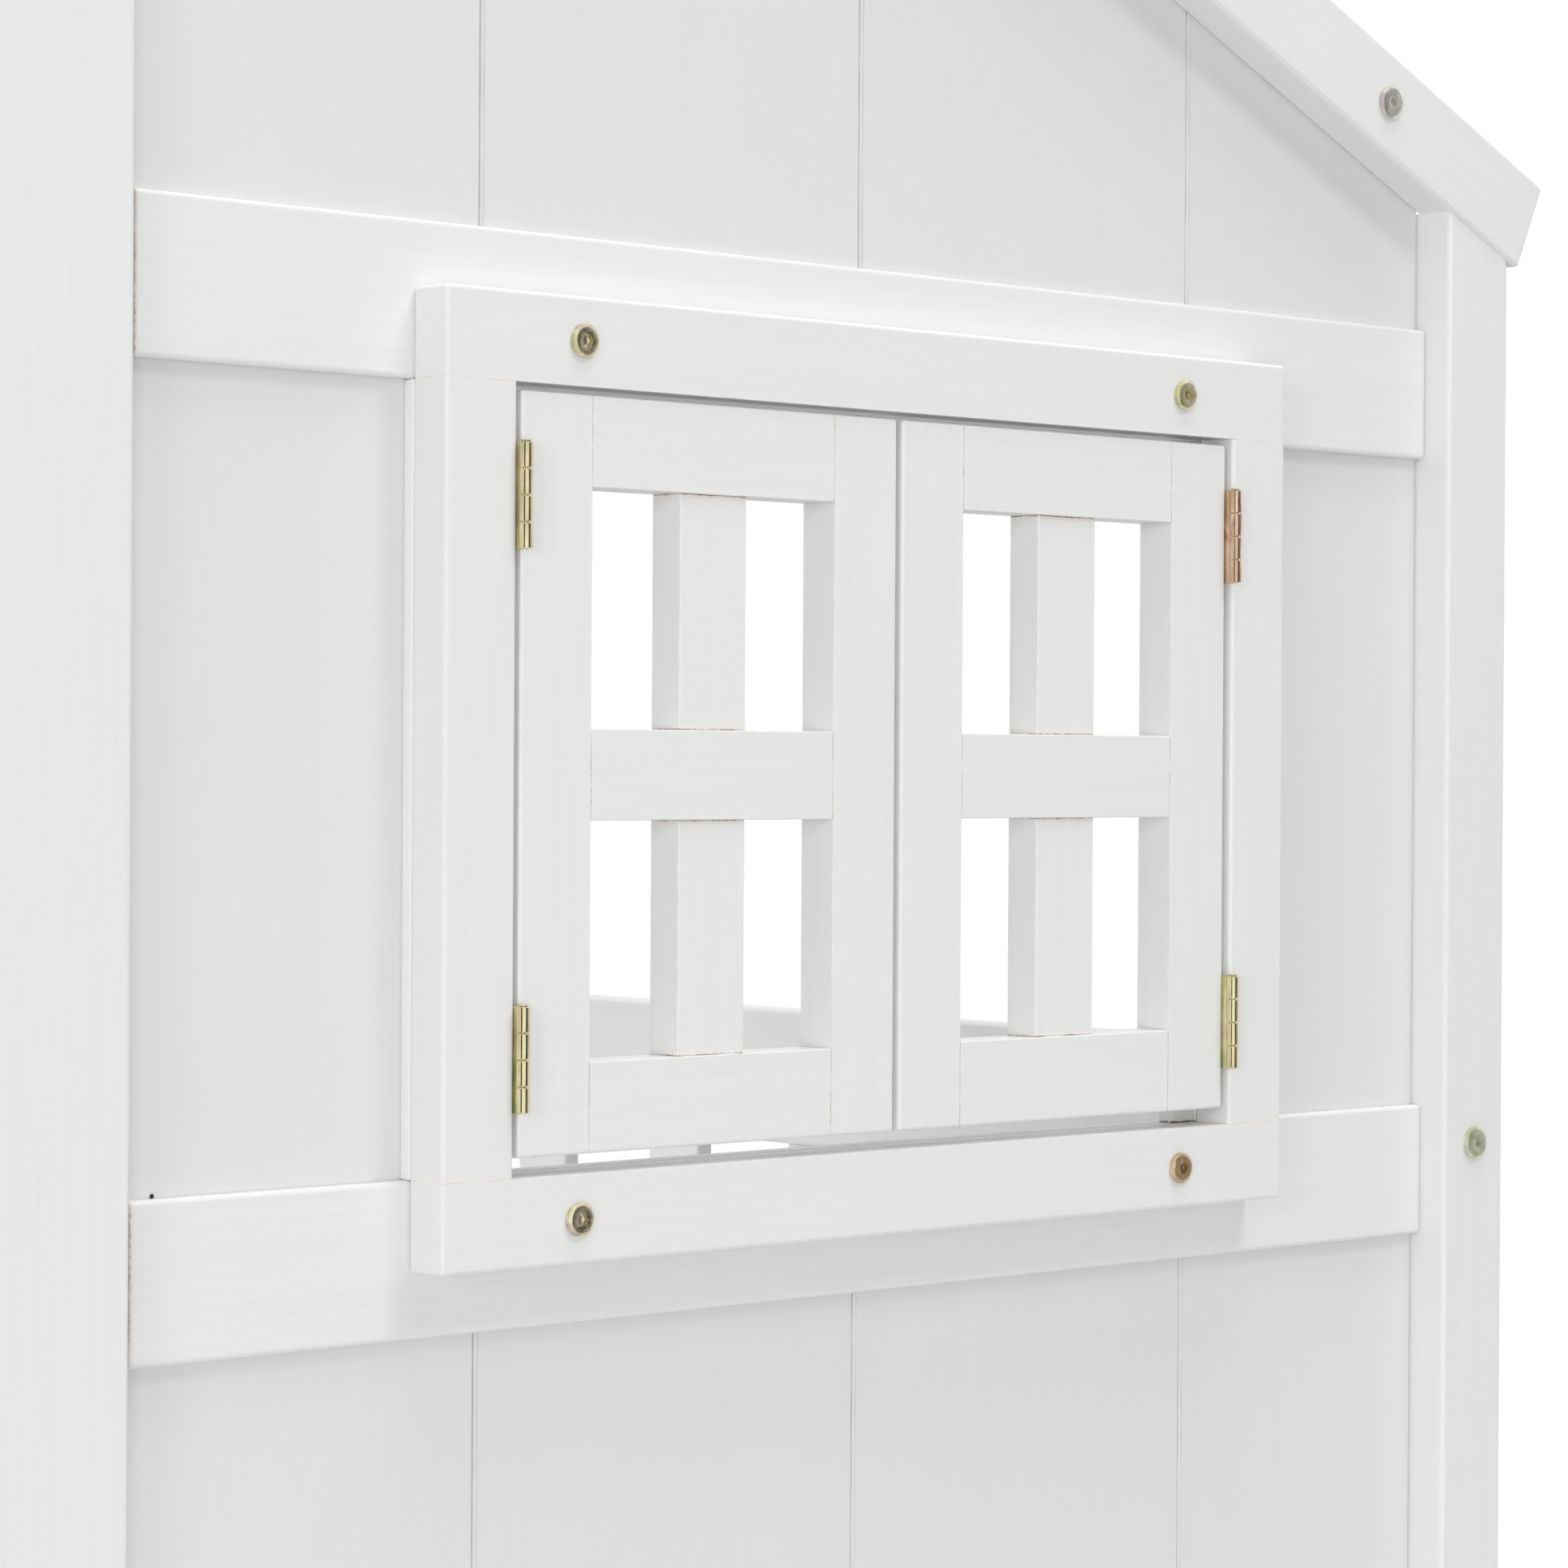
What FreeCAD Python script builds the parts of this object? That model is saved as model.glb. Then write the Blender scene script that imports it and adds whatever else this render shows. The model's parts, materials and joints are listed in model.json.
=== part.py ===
"""White wooden playhouse: open gable frame, grooved front with a shuttered window, slatted railings.

Axes: X runs along the front, +Y goes from the front to the back, +Z is up. The origin is on the
floor, in the middle of the whole object. All sizes are in millimetres.
"""
import os
import re
import sys

import FreeCAD
from FreeCAD import Placement, Rotation, Vector

DIMENSIONS = {
    # the whole house
    "bay_width": 914.0,             # clear width between the centre post and a corner post
    "body_depth": 1112.0,           # front face to rear face of the posts
    "window_level": 900.0,          # middle of the window opening above the floor
    "eave_level": 1206.0,           # underside of the rake at the outer face of a corner post
    "roof_pitch": 24.8,             # degrees
    # posts
    "post_size": 54.0,
    "centre_post_width": 95.0,
    "post_round": 3.0,
    # grooved panel
    "panel_setback": 24.2,          # panel face behind the post face
    "board_thickness": 12.0,
    "board_pitch": 250.0,
    "corner_board_width": 200.5,
    "groove_chamfer": 1.6,
    "panel_floor_gap": 25.0,
    "panel_lap": 30.0,              # how far the boards run up behind the rake
    # rails laid on the panel
    "rail_height": 75.0,
    "rail_thickness": 7.0,
    "rail_round": 2.5,
    "rail_end_gap": 11.5,           # between the centre post and a rail's end
    # window frame
    "opening_width": 506.4,
    "opening_height": 376.0,
    "window_shift": 7.0,            # window centre beyond the middle of its bay
    "frame_width": 43.0,
    "frame_thickness": 25.0,
    "frame_round": 2.2,
    "eased_round": 0.6,             # edges beside a joint, only eased with sandpaper
    "block_width": 18.0,
    "block_depth": 10.0,
    "block_height": 13.0,
    "block_gap": 1.2,               # rest block behind the closed shutter
    # shutters
    "hinge_gap": 4.0,
    "meeting_gap": 4.0,
    "top_gap": 3.8,
    "bottom_gap": 9.3,
    "leaf_thickness": 22.8,
    "leaf_recess": 1.9,             # shutter face behind the window frame face
    "stile_width": 43.8,
    "crossbar_height": 44.0,
    "muntin_width": 43.4,
    "muntin_recess": 2.0,
    "shutter_round": 1.6,
    # hinges
    "hinge_length": 50.8,
    "barrel_radius": 3.3,
    "pin_radius": 1.6,
    "pin_clearance": 0.12,
    "pin_head_radius": 2.5,
    "pin_head_height": 0.8,
    "plate_thickness": 1.2,
    "plate_depth": 18.0,
    "plate_clearance": 0.35,        # free space round the other leaf's knuckles
    "knuckle_gap": 0.2,
    "axis_proud": 3.8,              # hinge axis in front of the window frame face
    "upper_hinge_drop": 50.0,       # shutter top to the middle of the upper hinge
    "lower_hinge_rise": 47.0,       # shutter bottom to the middle of the lower hinge
    "screw_spacing": 16.0,
    "screw_setback": 17.5,          # hinge axis back to the screw line
    "screw_head_radius": 2.6,
    "screw_radius": 1.3,
    "screw_length": 14.0,
    # roof frame
    "rake_width": 54.0,
    "rake_proud": 2.0,
    "rake_round": 2.5,
    "tail_overhang": 7.0,           # lower corner of the rake beyond the corner post
    "purlin_size": 45.0,
    "purlin_round": 2.5,
    "eave_purlin_inset": 58.0,      # eave purlin axis inside the corner post's inner face
    "mid_purlin_offset": 480.0,     # middle purlin axis from the ridge
    "ridge_width": 45.0,
    "ridge_height": 75.0,
    "ridge_rise": 35.0,             # ridge beam top above the meeting point of the rake undersides
    # railings
    "railing_top": 741.5,
    "railing_height": 91.0,         # height of a railing board
    "railing_thickness": 20.0,
    "railing_round": 3.0,
    "kick_level": 40.0,             # underside of the lowest railing board
    "slat_width": 51.5,
    "slat_thickness": 14.0,
    "slat_round": 2.0,
    # connector bolts and nuts
    "frame_bolt_spread": 426.0,
    "frame_head_radius": 8.2,
    "post_head_radius": 9.5,
    "bolt_head_height": 3.0,
    "bolt_rim_chamfer": 0.9,
    "shank_radius": 3.0,
    "bolt_clearance": 0.05,
    "hex_radius": 3.3,
    "hex_depth": 1.9,
    "bolt_drop": 52.0,              # railing bolt below the top edge of its board
    "nut_setback": 38.0,            # barrel nut from the end of its timber
    "nut_radius": 5.0,
    "nut_end_gap": 1.0,             # barrel nut ends below the timber faces
    "rear_bolt_step": 12.5,         # rear railing bolt below the side railing bolt it crosses
    "shank_past_nut": 7.0,
    "cap_nut_height": 3.2,
    "thread_in_cap": 1.0,
    "ridge_bolt_drop": 24.0,
}

# lengths worked out from the driving dimensions, in the order of the build
DERIVED = {
    "front_proud": "frame_thickness + rail_thickness - panel_setback + axis_proud + barrel_radius",
    "rear_proud": "rake_proud + bolt_head_height",
    "front_y": "(front_proud - body_depth - rear_proud) / 2",
    "rear_y": "front_y + body_depth",
    "panel_y": "front_y + panel_setback",
    "panel_back_y": "panel_y + board_thickness",
    "rail_y": "panel_y - rail_thickness",
    "frame_y": "rail_y - frame_thickness",
    "leaf_y": "frame_y + leaf_recess",
    "muntin_thickness": "leaf_thickness - muntin_recess",
    "axis_y": "frame_y - axis_proud",
    "bay_start": "centre_post_width / 2",
    "bay_end": "bay_start + bay_width",
    "outer_x": "bay_end + post_size",
    "window_x": "bay_start + bay_width / 2 + window_shift",
    "opening_left": "window_x - opening_width / 2",
    "opening_right": "window_x + opening_width / 2",
    "opening_bottom": "window_level - opening_height / 2",
    "opening_top": "window_level + opening_height / 2",
    "leaf_width": "(opening_width - 2 * hinge_gap - meeting_gap) / 2",
    "leaf_height": "opening_height - top_gap - bottom_gap",
    "leaf_bottom": "opening_bottom + bottom_gap",
    "leaf_top": "opening_top - top_gap",
    "middle_bar_bottom": "leaf_bottom + (leaf_height - crossbar_height) / 2",
    "muntin_length": "(leaf_height - 3 * crossbar_height) / 2",
    "knuckle_length": "hinge_length / 4",
    "apex_level": "eave_level + outer_x * tan(roof_pitch)",
    "rake_thickness": "rake_proud + panel_setback",
    "tail_x": "outer_x + tail_overhang",
    "tail_level": "eave_level - tail_overhang * tan(roof_pitch)",
    "rake_length": "(tail_x + 2 * rake_width) / cos(roof_pitch)",
    "rear_rake_y": "rear_y - panel_setback",
    "eave_purlin_x": "bay_end - eave_purlin_inset",
    "purlin_length": "rear_rake_y - panel_back_y",
    "ridge_length": "body_depth - 2 * post_size",
    "railing_x": "outer_x - (post_size + railing_thickness) / 2",
    "side_run": "body_depth - 2 * post_size",
    "slat_bottom": "kick_level + railing_height",
    "slat_top": "railing_top - railing_height",
    "slat_length": "slat_top - slat_bottom",
    "top_bolt_level": "railing_top - bolt_drop",
    "kick_bolt_level": "kick_level + railing_height - bolt_drop",
    "shank_bore": "shank_radius + bolt_clearance",
    "nut_bore": "nut_radius + bolt_clearance",
    "screw_bore": "screw_radius + bolt_clearance",
}

SIDE_SLATS = 7
REAR_SLATS = 6
LEFT, RIGHT = -1, 1
ORIGIN = ("0", "0", "0")
TOLERANCE = 0.01                # for picking edges by where they lie
TURN_TO = {                      # rotations that take the +Z axis of a cylinder to a direction
    "+X": Rotation(Vector(0, 1, 0), 90),
    "-X": Rotation(Vector(0, 1, 0), -90),
    "+Y": Rotation(Vector(1, 0, 0), -90),
    "-Y": Rotation(Vector(1, 0, 0), 90),
    "+Z": Rotation(),
}

doc = FreeCAD.newDocument("playhouse")
sheet = doc.addObject("Spreadsheet::Sheet", "sizes")
for row, (alias, value) in enumerate(DIMENSIONS.items(), start=1):
    sheet.set(f"A{row}", alias)
    sheet.set(f"B{row}", str(value))
    sheet.setAlias(f"B{row}", alias)
doc.recompute()

nodes = {}


def expression(text):
    """Return an expression on the sheet for a formula written with the names above."""
    while True:
        longer = re.sub(r"[a-z_]+", lambda m: f"({DERIVED[m[0]]})" if m[0] in DERIVED else m[0], str(text))
        if longer == text:
            break
        text = longer
    return re.sub(r"[a-z_]+", lambda m: f"sizes.{m[0]}" if m[0] in DIMENSIONS else m[0], text)


def bind(thing, **formulas):
    """Tie properties of a document object to formulas on the sheet."""
    for name, formula in formulas.items():
        thing.setExpression(name, expression(formula))


def place(thing, at, rotation=None):
    """Put an object at a point given by three formulas, turned by a fixed rotation."""
    if rotation is not None:
        thing.Placement = Placement(Vector(), rotation)
    for axis, formula in zip("xyz", at):
        thing.setExpression(f"Placement.Base.{axis}", expression(formula))


def on_axis(way, distance):
    """Return the point at a distance along one axis; way is "X", "Y" or "Z"."""
    return tuple(distance if axis == way else "0" for axis in "XYZ")


def tilt(thing, side):
    """Turn an object about Y so that its X axis follows the roof slope on one side."""
    thing.Placement = Placement(Vector(), Rotation(Vector(0, side, 0), DIMENSIONS["roof_pitch"]))
    thing.setExpression("Placement.Rotation.Angle", expression("roof_pitch"))


def new_body(label, at=ORIGIN, roof_side=None):
    """Start a body at a point given by formulas, turned with the roof slope of one side if given."""
    body = doc.addObject("PartDesign::Body", label)
    body.Label = label
    body.AllowCompound = True
    if roof_side is not None:
        tilt(body, roof_side)
    place(body, at)
    return body


def block(body, size, at=ORIGIN, cut=False):
    """Add a rectangular block to a body, or cut one from it."""
    kind = "PartDesign::SubtractiveBox" if cut else "PartDesign::AdditiveBox"
    box = body.newObject(kind, "Block")
    bind(box, Length=size[0], Width=size[1], Height=size[2])
    place(box, at)
    return box


def round_bar(body, radius, length, at, direction="+Z", cut=False):
    """Add a cylinder to a body, or cut one from it, along a direction."""
    kind = "PartDesign::SubtractiveCylinder" if cut else "PartDesign::AdditiveCylinder"
    bar = body.newObject(kind, "Bar")
    bind(bar, Radius=radius, Height=length)
    place(bar, at, TURN_TO[direction])
    return bar


def round_all(body, radius):
    """Round every edge of the body as it stands."""
    base = body.Tip
    fillet = body.newObject("PartDesign::Fillet", "Rounding")
    fillet.Base = (base, [""])
    fillet.UseAllEdges = True
    bind(fillet, Radius=radius)
    return fillet


def chamfer_where(body, size, chosen):
    """Chamfer the edges of the body for which chosen(edge) is true."""
    doc.recompute()
    base = body.Tip
    names = [f"Edge{i}" for i, edge in enumerate(base.Shape.Edges, start=1) if chosen(edge)]
    chamfer = body.newObject("PartDesign::Chamfer", "Chamfer")
    chamfer.Base = (base, names)
    bind(chamfer, Size=size)
    return chamfer


def sides_of(edge, box):
    """Return the sides of a bounding box, such as "+X" or "-Z", that an edge lies on."""
    limits = edge.BoundBox
    sides = set()
    for axis in "XYZ":
        low = getattr(limits, f"{axis}Min")
        high = getattr(limits, f"{axis}Max")
        if high - low > TOLERANCE:
            continue
        if abs(low - getattr(box, f"{axis}Min")) < TOLERANCE:
            sides.add(f"-{axis}")
        if abs(high - getattr(box, f"{axis}Max")) < TOLERANCE:
            sides.add(f"+{axis}")
    return sides


def round_where(body, radius, chosen):
    """Round the straight edges of a block whose set of sides passes chosen(sides)."""
    doc.recompute()
    base = body.Tip
    box = base.Shape.BoundBox
    names = []
    for number, edge in enumerate(base.Shape.Edges, start=1):
        sides = sides_of(edge, box)
        if len(sides) == 2 and chosen(sides):
            names.append(f"Edge{number}")
    if names:
        fillet = body.newObject("PartDesign::Fillet", "Rounding")
        fillet.Base = (base, names)
        bind(fillet, Radius=radius)


def stick(label, size, at, rounding, square=(), crisp=()):
    """Make a planed bar of timber with rounded edges.

    Edges on the square sides stay sharp, as at a joint sawn tight, and those on the crisp sides are
    only eased.
    """
    body = new_body(label, at)
    block(body, size)
    if not square and not crisp:
        round_all(body, rounding)
        return body
    if crisp:
        round_where(body, "eased_round", lambda sides: sides & set(crisp) and not sides & set(square))
    round_where(body, rounding, lambda sides: not sides & (set(square) | set(crisp)))
    return body


def roof_cut(body, side, local_x, width, depth, base_level):
    """Cut the top of a body along the underside of the rake, or along a line above it.

    local_x is the world X of the body's own origin, and base_level is its world Z.
    """
    reach = "bay_width / 2"
    start = f"({local_x}) - {reach}"
    line = f"apex_level - ({side}) * ({start}) * tan(roof_pitch) - ({base_level})"
    cutter = body.newObject("PartDesign::SubtractiveBox", "RoofLine")
    bind(cutter, Length=f"(({width}) + 2 * {reach}) / cos(roof_pitch)", Width=f"({depth}) + 2 * post_size",
         Height="apex_level")
    tilt(cutter, side)
    place(cutter, (f"-{reach}", "-post_size", line))
    return cutter


def keep(label, *bodies):
    """Register a node: one body, or several separate ones in a compound of their own."""
    if len(bodies) == 1:
        nodes[label] = bodies[0]
        return bodies[0]
    group = doc.addObject("Part::Compound", label)
    group.Label = label
    group.Links = list(bodies)
    nodes[label] = group
    return group


def bolt_hole(body, origin, at, direction, length):
    """Drill a shank hole at a world point into a body whose own origin is given."""
    local = [f"({point}) - ({start})" for point, start in zip(at, origin)]
    return round_bar(body, "shank_bore", length, local, direction, cut=True)


def connector_bolt(label, at, direction, head_radius, shank_length):
    """Make a flat-head hexagon socket bolt; at is the surface under its head, direction is inwards."""
    body = new_body(label)
    place(body, at, TURN_TO[direction])
    round_bar(body, head_radius, "bolt_head_height", ("0", "0", "-bolt_head_height"))
    top = -DIMENSIONS["bolt_head_height"]
    chamfer_where(body, "bolt_rim_chamfer",
                  lambda edge: max(abs(edge.BoundBox.ZMin - top), abs(edge.BoundBox.ZMax - top)) < TOLERANCE)
    round_bar(body, "shank_radius", shank_length, ORIGIN)
    socket = body.newObject("PartDesign::SubtractivePrism", "Socket")
    socket.Polygon = 6
    bind(socket, Circumradius="hex_radius", Height="hex_depth")
    place(socket, ("0", "0", "-bolt_head_height"))
    return body


def barrel_nut(label, at, way, length, shank_way, roof_side=None):
    """Make a cross dowel with its thread hole; at is its middle, way and shank_way are "X", "Y" or "Z"."""
    body = new_body(label, at, roof_side)
    round_bar(body, "nut_radius", length, on_axis(way, f"-({length}) / 2"), f"+{way}")
    round_bar(body, "shank_bore", "4 * nut_radius", on_axis(shank_way, "-2 * nut_radius"),
              f"+{shank_way}", cut=True)
    return body


# ---------------------------------------------------------------- posts
def make_posts():
    """Build the six posts, cut along the roof line, with their bolt holes."""
    rear_posts = []
    for side, word in ((LEFT, "left"), (RIGHT, "right")):
        inner = "-outer_x" if side == LEFT else "bay_end"
        for row_y, place_word in (("front_y", "front"), ("rear_y - post_size", "rear")):
            label = f"{word}_{place_word}_post"
            body = stick(label, ("post_size", "post_size", "apex_level"), (inner, row_y, "0"), "post_round")
            roof_cut(body, side, inner, "post_size", "post_size", "0")
            for level in ("top_bolt_level", "kick_bolt_level"):
                round_bar(body, "shank_bore", "post_size", ("post_size / 2", "0", level),
                          "+Y", cut=True)
            if place_word == "front":
                keep(label, body)
                continue
            for level in ("top_bolt_level", "kick_bolt_level"):
                round_bar(body, "shank_bore", "post_size",
                          ("0", "post_size / 2", f"{level} - rear_bolt_step"), "+X", cut=True)
            rear_posts.append(body)
    keep("rear_corner_posts", *rear_posts)
    for row_y, label in (("front_y", "centre_front_post"), ("rear_y - post_size", "centre_rear_post")):
        body = stick(label, ("centre_post_width", "post_size", "apex_level + post_size"),
                     ("-bay_start", row_y, "0"), "post_round")
        for side in (LEFT, RIGHT):
            roof_cut(body, side, "-bay_start", "centre_post_width", "post_size", "0")
        round_bar(body, "shank_bore", "post_size",
                  ("bay_start", "0", "apex_level - ridge_bolt_drop"), "+Y", cut=True)
        keep(label, body)


# ---------------------------------------------------------------- panel boards
def grooved_board(label, side, left, width, bottom, top):
    """Make one panel board with chamfered front edges; top is a level, or None for the roof line."""
    height = f"({top}) - ({bottom})" if top else f"apex_level + panel_lap - ({bottom})"
    body = new_body(label, (left, "panel_y", bottom))
    block(body, (width, "board_thickness", height))
    chamfer_where(body, "groove_chamfer",
                  lambda edge: edge.BoundBox.YMax < TOLERANCE and edge.BoundBox.ZLength > TOLERANCE)
    if top is None:
        roof_cut(body, side, left, width, "board_thickness", f"({bottom}) - panel_lap / cos(roof_pitch)")
    return body


def frame_bolt_points():
    """Return the four places of the window frame bolts on the frame face."""
    return [(f"window_x + ({across}) * frame_bolt_spread / 2", "frame_y",
             f"window_level + ({up}) * (opening_height + frame_width) / 2")
            for across in (-1, 1) for up in (-1, 1)]


def roof_bolt_points():
    """Return side, X and Z of each purlin axis, on the middle line of the rakes."""
    points = []
    for side in (LEFT, RIGHT):
        for offset in ("eave_purlin_x", "mid_purlin_offset"):
            level = f"apex_level - ({offset}) * tan(roof_pitch) + rake_width / 2 / cos(roof_pitch)"
            points.append((side, f"({side}) * ({offset})", level))
    return points


def make_panels():
    """Build the grooved boards of the window bay and of the gable over the door bay."""
    first_width = "bay_width - corner_board_width - 2 * board_pitch"
    inner_left = f"bay_start + {first_width}"
    columns = [("centre", "bay_start", first_width), ("left", inner_left, "board_pitch"),
               ("right", f"{inner_left} + board_pitch", "board_pitch"),
               ("corner", "bay_end - corner_board_width", "corner_board_width")]
    boards = []
    for word, left, width in columns:
        if word in ("centre", "corner"):
            body = grooved_board(f"panel_{word}_board", RIGHT, left, width, "panel_floor_gap", None)
            corner = (f"opening_left - ({left})", "-board_thickness", "opening_bottom - panel_floor_gap")
            block(body, ("opening_width", "3 * board_thickness", "opening_height"), corner, cut=True)
            boards.append((body, left, width, "panel_floor_gap", None))
        else:
            body = grooved_board(f"panel_upper_{word}_board", RIGHT, left, width, "opening_top", None)
            boards.append((body, left, width, "opening_top", None))
            body = grooved_board(f"panel_lower_{word}_board", RIGHT, left, width, "panel_floor_gap",
                                 "opening_bottom")
            boards.append((body, left, width, "panel_floor_gap", "opening_bottom"))
    for number, (word, left, width) in enumerate(columns, start=1):
        mirrored = f"-(({left}) + ({width}))"
        body = grooved_board(f"door_gable_board_{number}", LEFT, mirrored, width, "opening_top", None)
        boards.append((body, mirrored, width, "opening_top", None))
    doc.recompute()
    for body, left, width, bottom, top in boards:
        box = body.Shape.BoundBox
        for at in frame_bolt_points() + [(x, "frame_y", z) for side, x, z in roof_bolt_points()]:
            x_value = value_of(at[0])
            z_value = value_of(at[2])
            if box.XMin < x_value < box.XMax and box.ZMin < z_value < box.ZMax:
                bolt_hole(body, (left, "panel_y", bottom), (at[0], "panel_y - board_thickness", at[2]), "+Y",
                          "3 * board_thickness")
        keep(body.Label, body)


def value_of(formula):
    """Return the number that a formula on the sheet gives."""
    result = sheet.evalExpression(expression(formula).replace("sizes.", ""))
    return float(FreeCAD.Units.Quantity(result).Value)


# ---------------------------------------------------------------- rails
def make_rails():
    """Build the flat rails laid on the panel between the posts."""
    start = "bay_start + rail_end_gap"
    rails = [("upper_rail", start, "opening_top", "opening_top + frame_width / 2"),
             ("lower_rail", start, "opening_bottom - rail_height", "opening_bottom - frame_width / 2"),
             ("bottom_rail", start, "panel_floor_gap", None),
             ("door_header_rail", "-bay_end", "opening_top", None)]
    for label, left, bottom, bolt_level in rails:
        size = ("bay_width - rail_end_gap", "rail_thickness", "rail_height")
        body = stick(label, size, (left, "rail_y", bottom), "rail_round")
        if bolt_level is not None:
            for across in (-1, 1):
                x = f"window_x + ({across}) * frame_bolt_spread / 2"
                at = (x, "rail_y - rail_thickness", bolt_level)
                bolt_hole(body, (left, "rail_y", bottom), at, "+Y", "3 * rail_thickness")
        keep(label, body)


# ---------------------------------------------------------------- window frame
def hinge_levels():
    """Return the level of the middle of each hinge."""
    return ("leaf_top - upper_hinge_drop", "leaf_bottom + lower_hinge_rise")


def screw_points():
    """Return the levels of the six hinge screws on one side of the window."""
    return [f"{level} + ({step}) * screw_spacing" for level in hinge_levels() for step in (-1, 0, 1)]


def make_window_frame():
    """Build head, sill, jambs, backing strips and the small block that the right shutter closes on."""
    full = "opening_width + 2 * frame_width"
    left = "opening_left - frame_width"
    for label, bottom in (("window_head", "opening_top"), ("window_sill", "opening_bottom - frame_width")):
        size = (full, "frame_thickness", "frame_width")
        inner_side = "-Z" if label == "window_head" else "+Z"
        body = stick(label, size, (left, "frame_y", bottom), "frame_round", square=(inner_side,))
        for across in (-1, 1):
            at = (f"window_x + ({across}) * frame_bolt_spread / 2", "frame_y - frame_thickness",
                  f"{bottom} + frame_width / 2")
            bolt_hole(body, (left, "frame_y", bottom), at, "+Y", "3 * frame_thickness")
        keep(label, body)
    for label, start, face, way in (("window_left_jamb", left, "frame_width", "-X"),
                                    ("window_right_jamb", "opening_right", "0", "+X")):
        body = stick(label, ("frame_width", "frame_thickness", "opening_height"),
                     (start, "frame_y", "opening_bottom"), "frame_round", square=("-Z", "+Z"))
        for level in screw_points():
            round_bar(body, "screw_bore", "screw_length",
                      (face, "screw_setback - axis_proud", f"{level} - opening_bottom"), way, cut=True)
        keep(label, body)
    strips = [stick(f"{word}_strip", ("frame_width", "rail_thickness", "opening_height"),
                    (start, "rail_y", "opening_bottom"), "rail_round / 2")
              for word, start in (("left", left), ("right", "opening_right"))]
    keep("backing_strips", *strips)
    size = ("block_width", "block_depth", "block_height")
    at = ("opening_right - block_width", "leaf_y + leaf_thickness + block_gap", "opening_bottom")
    keep("shutter_rest_block", stick("shutter_rest_block", size, at, "shutter_round / 2"))


# ---------------------------------------------------------------- shutters
def make_shutter(word, side):
    """Build the seven timbers of one shutter; side says where its hinges are."""
    if side == LEFT:
        left = "opening_left + hinge_gap"
        stiles = {"hinge": (left, "+X"), "meeting": (f"{left} + leaf_width - stile_width", "-X")}
    else:
        left = "opening_right - hinge_gap - leaf_width"
        stiles = {"hinge": (f"{left} + leaf_width - stile_width", "-X"), "meeting": (left, "+X")}
    for role, (start, inner_side) in stiles.items():
        body = stick(f"{word}_{role}_stile", ("stile_width", "leaf_thickness", "leaf_height"),
                     (start, "leaf_y", "leaf_bottom"), "shutter_round", square=(inner_side,))
        if role == "hinge":
            face = "0" if side == LEFT else "stile_width"
            for level in screw_points():
                round_bar(body, "screw_bore", "screw_length",
                          (face, "screw_setback - axis_proud - leaf_recess", f"{level} - leaf_bottom"),
                          "+X" if side == LEFT else "-X", cut=True)
        keep(body.Label, body)
    between = "leaf_width - 2 * stile_width"
    bars = {"bottom": ("leaf_bottom", ("+Z",)), "middle": ("middle_bar_bottom", ("-Z", "+Z")),
            "top": ("leaf_top - crossbar_height", ("-Z",))}
    for role, (level, inner_sides) in bars.items():
        label = f"{word}_{role}_crossbar"
        keep(label, stick(label, (between, "leaf_thickness", "crossbar_height"),
                          (f"{left} + stile_width", "leaf_y", level), "shutter_round",
                          square=("-X", "+X"), crisp=inner_sides))
    muntins = {"lower": "leaf_bottom + crossbar_height", "upper": "middle_bar_bottom + crossbar_height"}
    for role, level in muntins.items():
        label = f"{word}_{role}_muntin"
        at = (f"{left} + (leaf_width - muntin_width) / 2", "leaf_y + muntin_recess", level)
        keep(label, stick(label, ("muntin_width", "muntin_thickness", "muntin_length"), at, "eased_round",
                          square=("-Z", "+Z")))


# ---------------------------------------------------------------- hinges
def hinge_leaf(label, axis_x, level, way, knuckles):
    """Make one hinge leaf; way is the side of its plate, knuckles are counted from the bottom."""
    body = new_body(label, (axis_x, "axis_y", f"{level} - hinge_length / 2"))
    inner = "hinge_gap / 2 - plate_thickness"
    start = inner if way == RIGHT else "-hinge_gap / 2"
    block(body, ("plate_thickness", "plate_depth + barrel_radius / 2", "hinge_length"), (start, "0", "0"))
    for number in knuckles:
        round_bar(body, "barrel_radius", "knuckle_length - knuckle_gap",
                  ("0", "0", f"{number} * knuckle_length + knuckle_gap / 2"))
    for number in sorted({0, 1, 2, 3} - set(knuckles)):
        round_bar(body, "barrel_radius + plate_clearance", "knuckle_length + knuckle_gap",
                  ("0", "0", f"{number} * knuckle_length - knuckle_gap / 2"), cut=True)
    round_bar(body, "pin_radius + pin_clearance", "2 * hinge_length", on_axis("Z", "-hinge_length / 2"),
              cut=True)
    into_wood = "+X" if way == RIGHT else "-X"
    for step in (-1, 0, 1):
        at = ("0", "screw_setback", f"hinge_length / 2 + ({step}) * screw_spacing")
        round_bar(body, "screw_bore", "hinge_gap", at, into_wood, cut=True)
        sink = body.newObject("PartDesign::SubtractiveCone", "Countersink")
        bind(sink, Radius1="screw_head_radius + bolt_clearance", Radius2="screw_bore",
             Height="plate_thickness")
        at = (f"({way}) * ({inner})", "screw_setback", f"hinge_length / 2 + ({step}) * screw_spacing")
        place(sink, at, TURN_TO[into_wood])
    return body


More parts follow.
